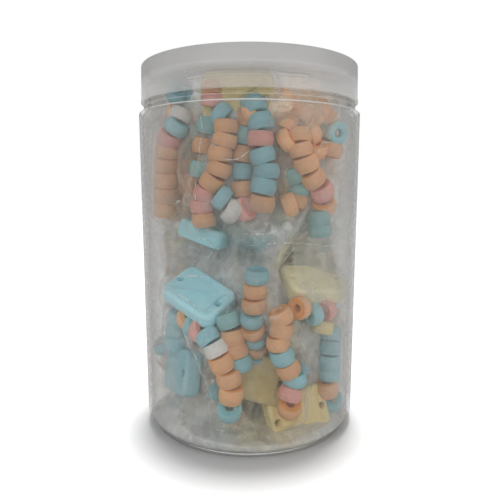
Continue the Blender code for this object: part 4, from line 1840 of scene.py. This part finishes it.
def pouchDepth(skin, pouch, seed):
    # the places of a pouch's grid and how far out the sweets stand behind each
    f = pouchFilm
    azimuth, height, halfWidth, halfHeight, slant = pouch
    across = int(2 * math.radians(halfWidth) * 46.0 / f["step"])
    up = int(2 * halfHeight / f["step"])
    spots, depth = [], []
    for i in range(up + 1):
        v = 2.0 * i / up - 1.0
        spotRow, depthRow = [], []
        for j in range(across + 1):
            u = 2.0 * j / across - 1.0
            ragged = 1.0 + 0.10 * noise.noise(Vector((u * 1.5, v * 1.5, seed * 3.1)))
            taller = 1.0 + 0.12 * noise.noise(Vector((u * 1.3, v, seed * 5.7)))
            a = azimuth + (halfWidth * u + slant * v) * ragged
            z = max(3.5, min(162.5, height + halfHeight * v * taller))
            hit = skin.ray_cast(placeOn(a, z, 51.0), -outward(a), 0.02)[0]
            spotRow.append((a, z))
            depthRow.append(max(hit.xy.length / mm if hit else 0.0, f["behind"]))
        spots.append(spotRow)
        depth.append(depthRow)
    return spots, depth


def pouchPatch(skin, pouch, seed):
    # one thin sheet that drapes over the sweets behind it
    f = pouchFilm
    spots, depth = pouchDepth(skin, pouch[:5], seed)
    thicker = pouch[5] - 1.0 if len(pouch) > 5 else 0.0
    depth = spreadOut(depth, f["spread"])
    for step in range(f["soften"]):
        depth = softened(depth)
    rows, marks = [], []
    for spotRow, depthRow in zip(spots, depth):
        row, mark = [], []
        for (a, z), distance in zip(spotRow, depthRow):
            fold, crease = foldsAt(math.radians(a) * 46.0, z, f["foldSize"], seed * 1.7)
            free = smoothStep(49.5, 45.0, distance)
            distance += f["lift"] + f["crumple"] * (fold + 0.4) * (0.35 + free)
            row.append(placeOn(a, z, min(distance, wallRoom(z, f["wallGap"]))))
            mark.append((crease, -thicker))
        rows.append(row)
        marks.append(mark)
    return rows, marks, False


def patchTree(patches):
    verts, faces = [], []
    for rows, marks, closed in patches:
        start, across = len(verts), len(rows[0])
        for row in rows:
            verts.extend(row)
        for i in range(len(rows) - 1):
            for j in range(across - 1):
                a = start + i * across + j
                faces.append((a, a + 1, a + across + 1, a + across))
    return BVHTree.FromPolygons(verts, faces)


def foldPatch(trees, points, highlightStrength):
    # a thin raised crease that follows the film under it and thins out at its ends; it is painted pale
    # as a highlight
    radius, sides = filmFold["radius"], filmFold["sides"]
    line = smoothCurve([Vector((azimuth, height, 0.0)) for azimuth, height in points], 8)
    depths = []
    for stop in line:
        start, inward = placeOn(stop.x, stop.y, 51.4), -outward(stop.x)
        hits = [tree.ray_cast(start, inward, 0.02)[0] for tree in trees]
        depths.append(max([hit.xy.length / mm for hit in hits if hit] + [44.0]))
    depths = softened([depths])[0]
    rows, marks = [], []
    last = len(line) - 1
    for number, (stop, depth) in enumerate(zip(line, depths)):
        thin = radius * (0.15 + 0.85 * math.sin(math.pi * number / last) ** 0.5)
        ahead = line[min(number + 1, last)] - line[max(number - 1, 0)]
        across = Vector((-ahead.y, ahead.x * 0.85)).normalized()
        row = []
        for angle in turnsOf(sides):
            slide = across * math.cos(angle) * thin
            out = min(depth + 0.1 + math.sin(angle) * thin, wallRoom(stop.y, 0.1))
            row.append(placeOn(stop.x + slide.x / 0.85, stop.y + slide.y, out))
        rows.append(row)
        # painted highlight: full crease mark and denser haze
        marks.append([(1.5, -highlightStrength * 1.5)] * sides)
    return rows, marks, True


def spreadOut(grid, reach):
    # the outermost value within reach, along rows and then along columns
    def along(row):
        return [max(row[max(0, i - reach):i + reach + 1]) for i in range(len(row))]
    wide = [along(row) for row in grid]
    columns = [along(list(column)) for column in zip(*wide)]
    return [list(row) for row in zip(*columns)]


def softened(grid, around=False):
    # takes the steps out of a grid, whose rows have no ends where they run all the way round
    result = []
    for i, row in enumerate(grid):
        above, below = grid[max(0, i - 1)], grid[min(len(grid) - 1, i + 1)]
        first, last = (-1, 0) if around else (0, -1)
        left, right = [row[first]] + row[:-1], row[1:] + [row[last]]
        double = [2 * value for value in row]
        result.append([sum(five) / 6.0 for five in zip(double, above, below, left, right)])
    return result


def makePouches(skin, under):
    b = backPouches
    draw = random.Random(b["seed"])
    pouches = list(frontPouches)
    for number in range(b["count"]):
        azimuth = 92.0 + 176.0 * ((number * 0.382) % 1.0)
        height = 26.0 + 110.0 * (number / (b["count"] - 1.0))
        slant = draw.uniform(-10, 10)
        pouches.append((azimuth, height, b["halfWidth"] + draw.uniform(-4, 4), b["halfHeight"], slant))
    patches = [pouchPatch(skin, pouch, 1.0 + number) for number, pouch in enumerate(pouches)]
    top = patchTree(patches)
    folds = list(paintedHighlightFolds)
    fold = random.Random(filmFold["seed"])
    for number in range(filmFold["backCount"]):
        azimuth, height = 80 + 200 * ((number * 0.618) % 1.0), 12 + 128 * ((number * 0.382) % 1.0)
        lean = fold.uniform(-9, 9)
        points = [(azimuth, height), (azimuth + lean, height + 6), (azimuth + lean * 1.6, height + 13)]
        # how bright each back crease's painted highlight is
        folds.append((points, fold.choice((1, 2, 4))))
    patches += [foldPatch((top, under), points, highlightStrength) for points, highlightStrength in folds]
    sheetMesh("filmPouches", patches, filmMaterial("pouchClearFilm", pouchFilm))


bunched = makeBunchedFilm(strandSkin)
makePouches(skinTree(sweets + [core]), skinTree([bunched]))
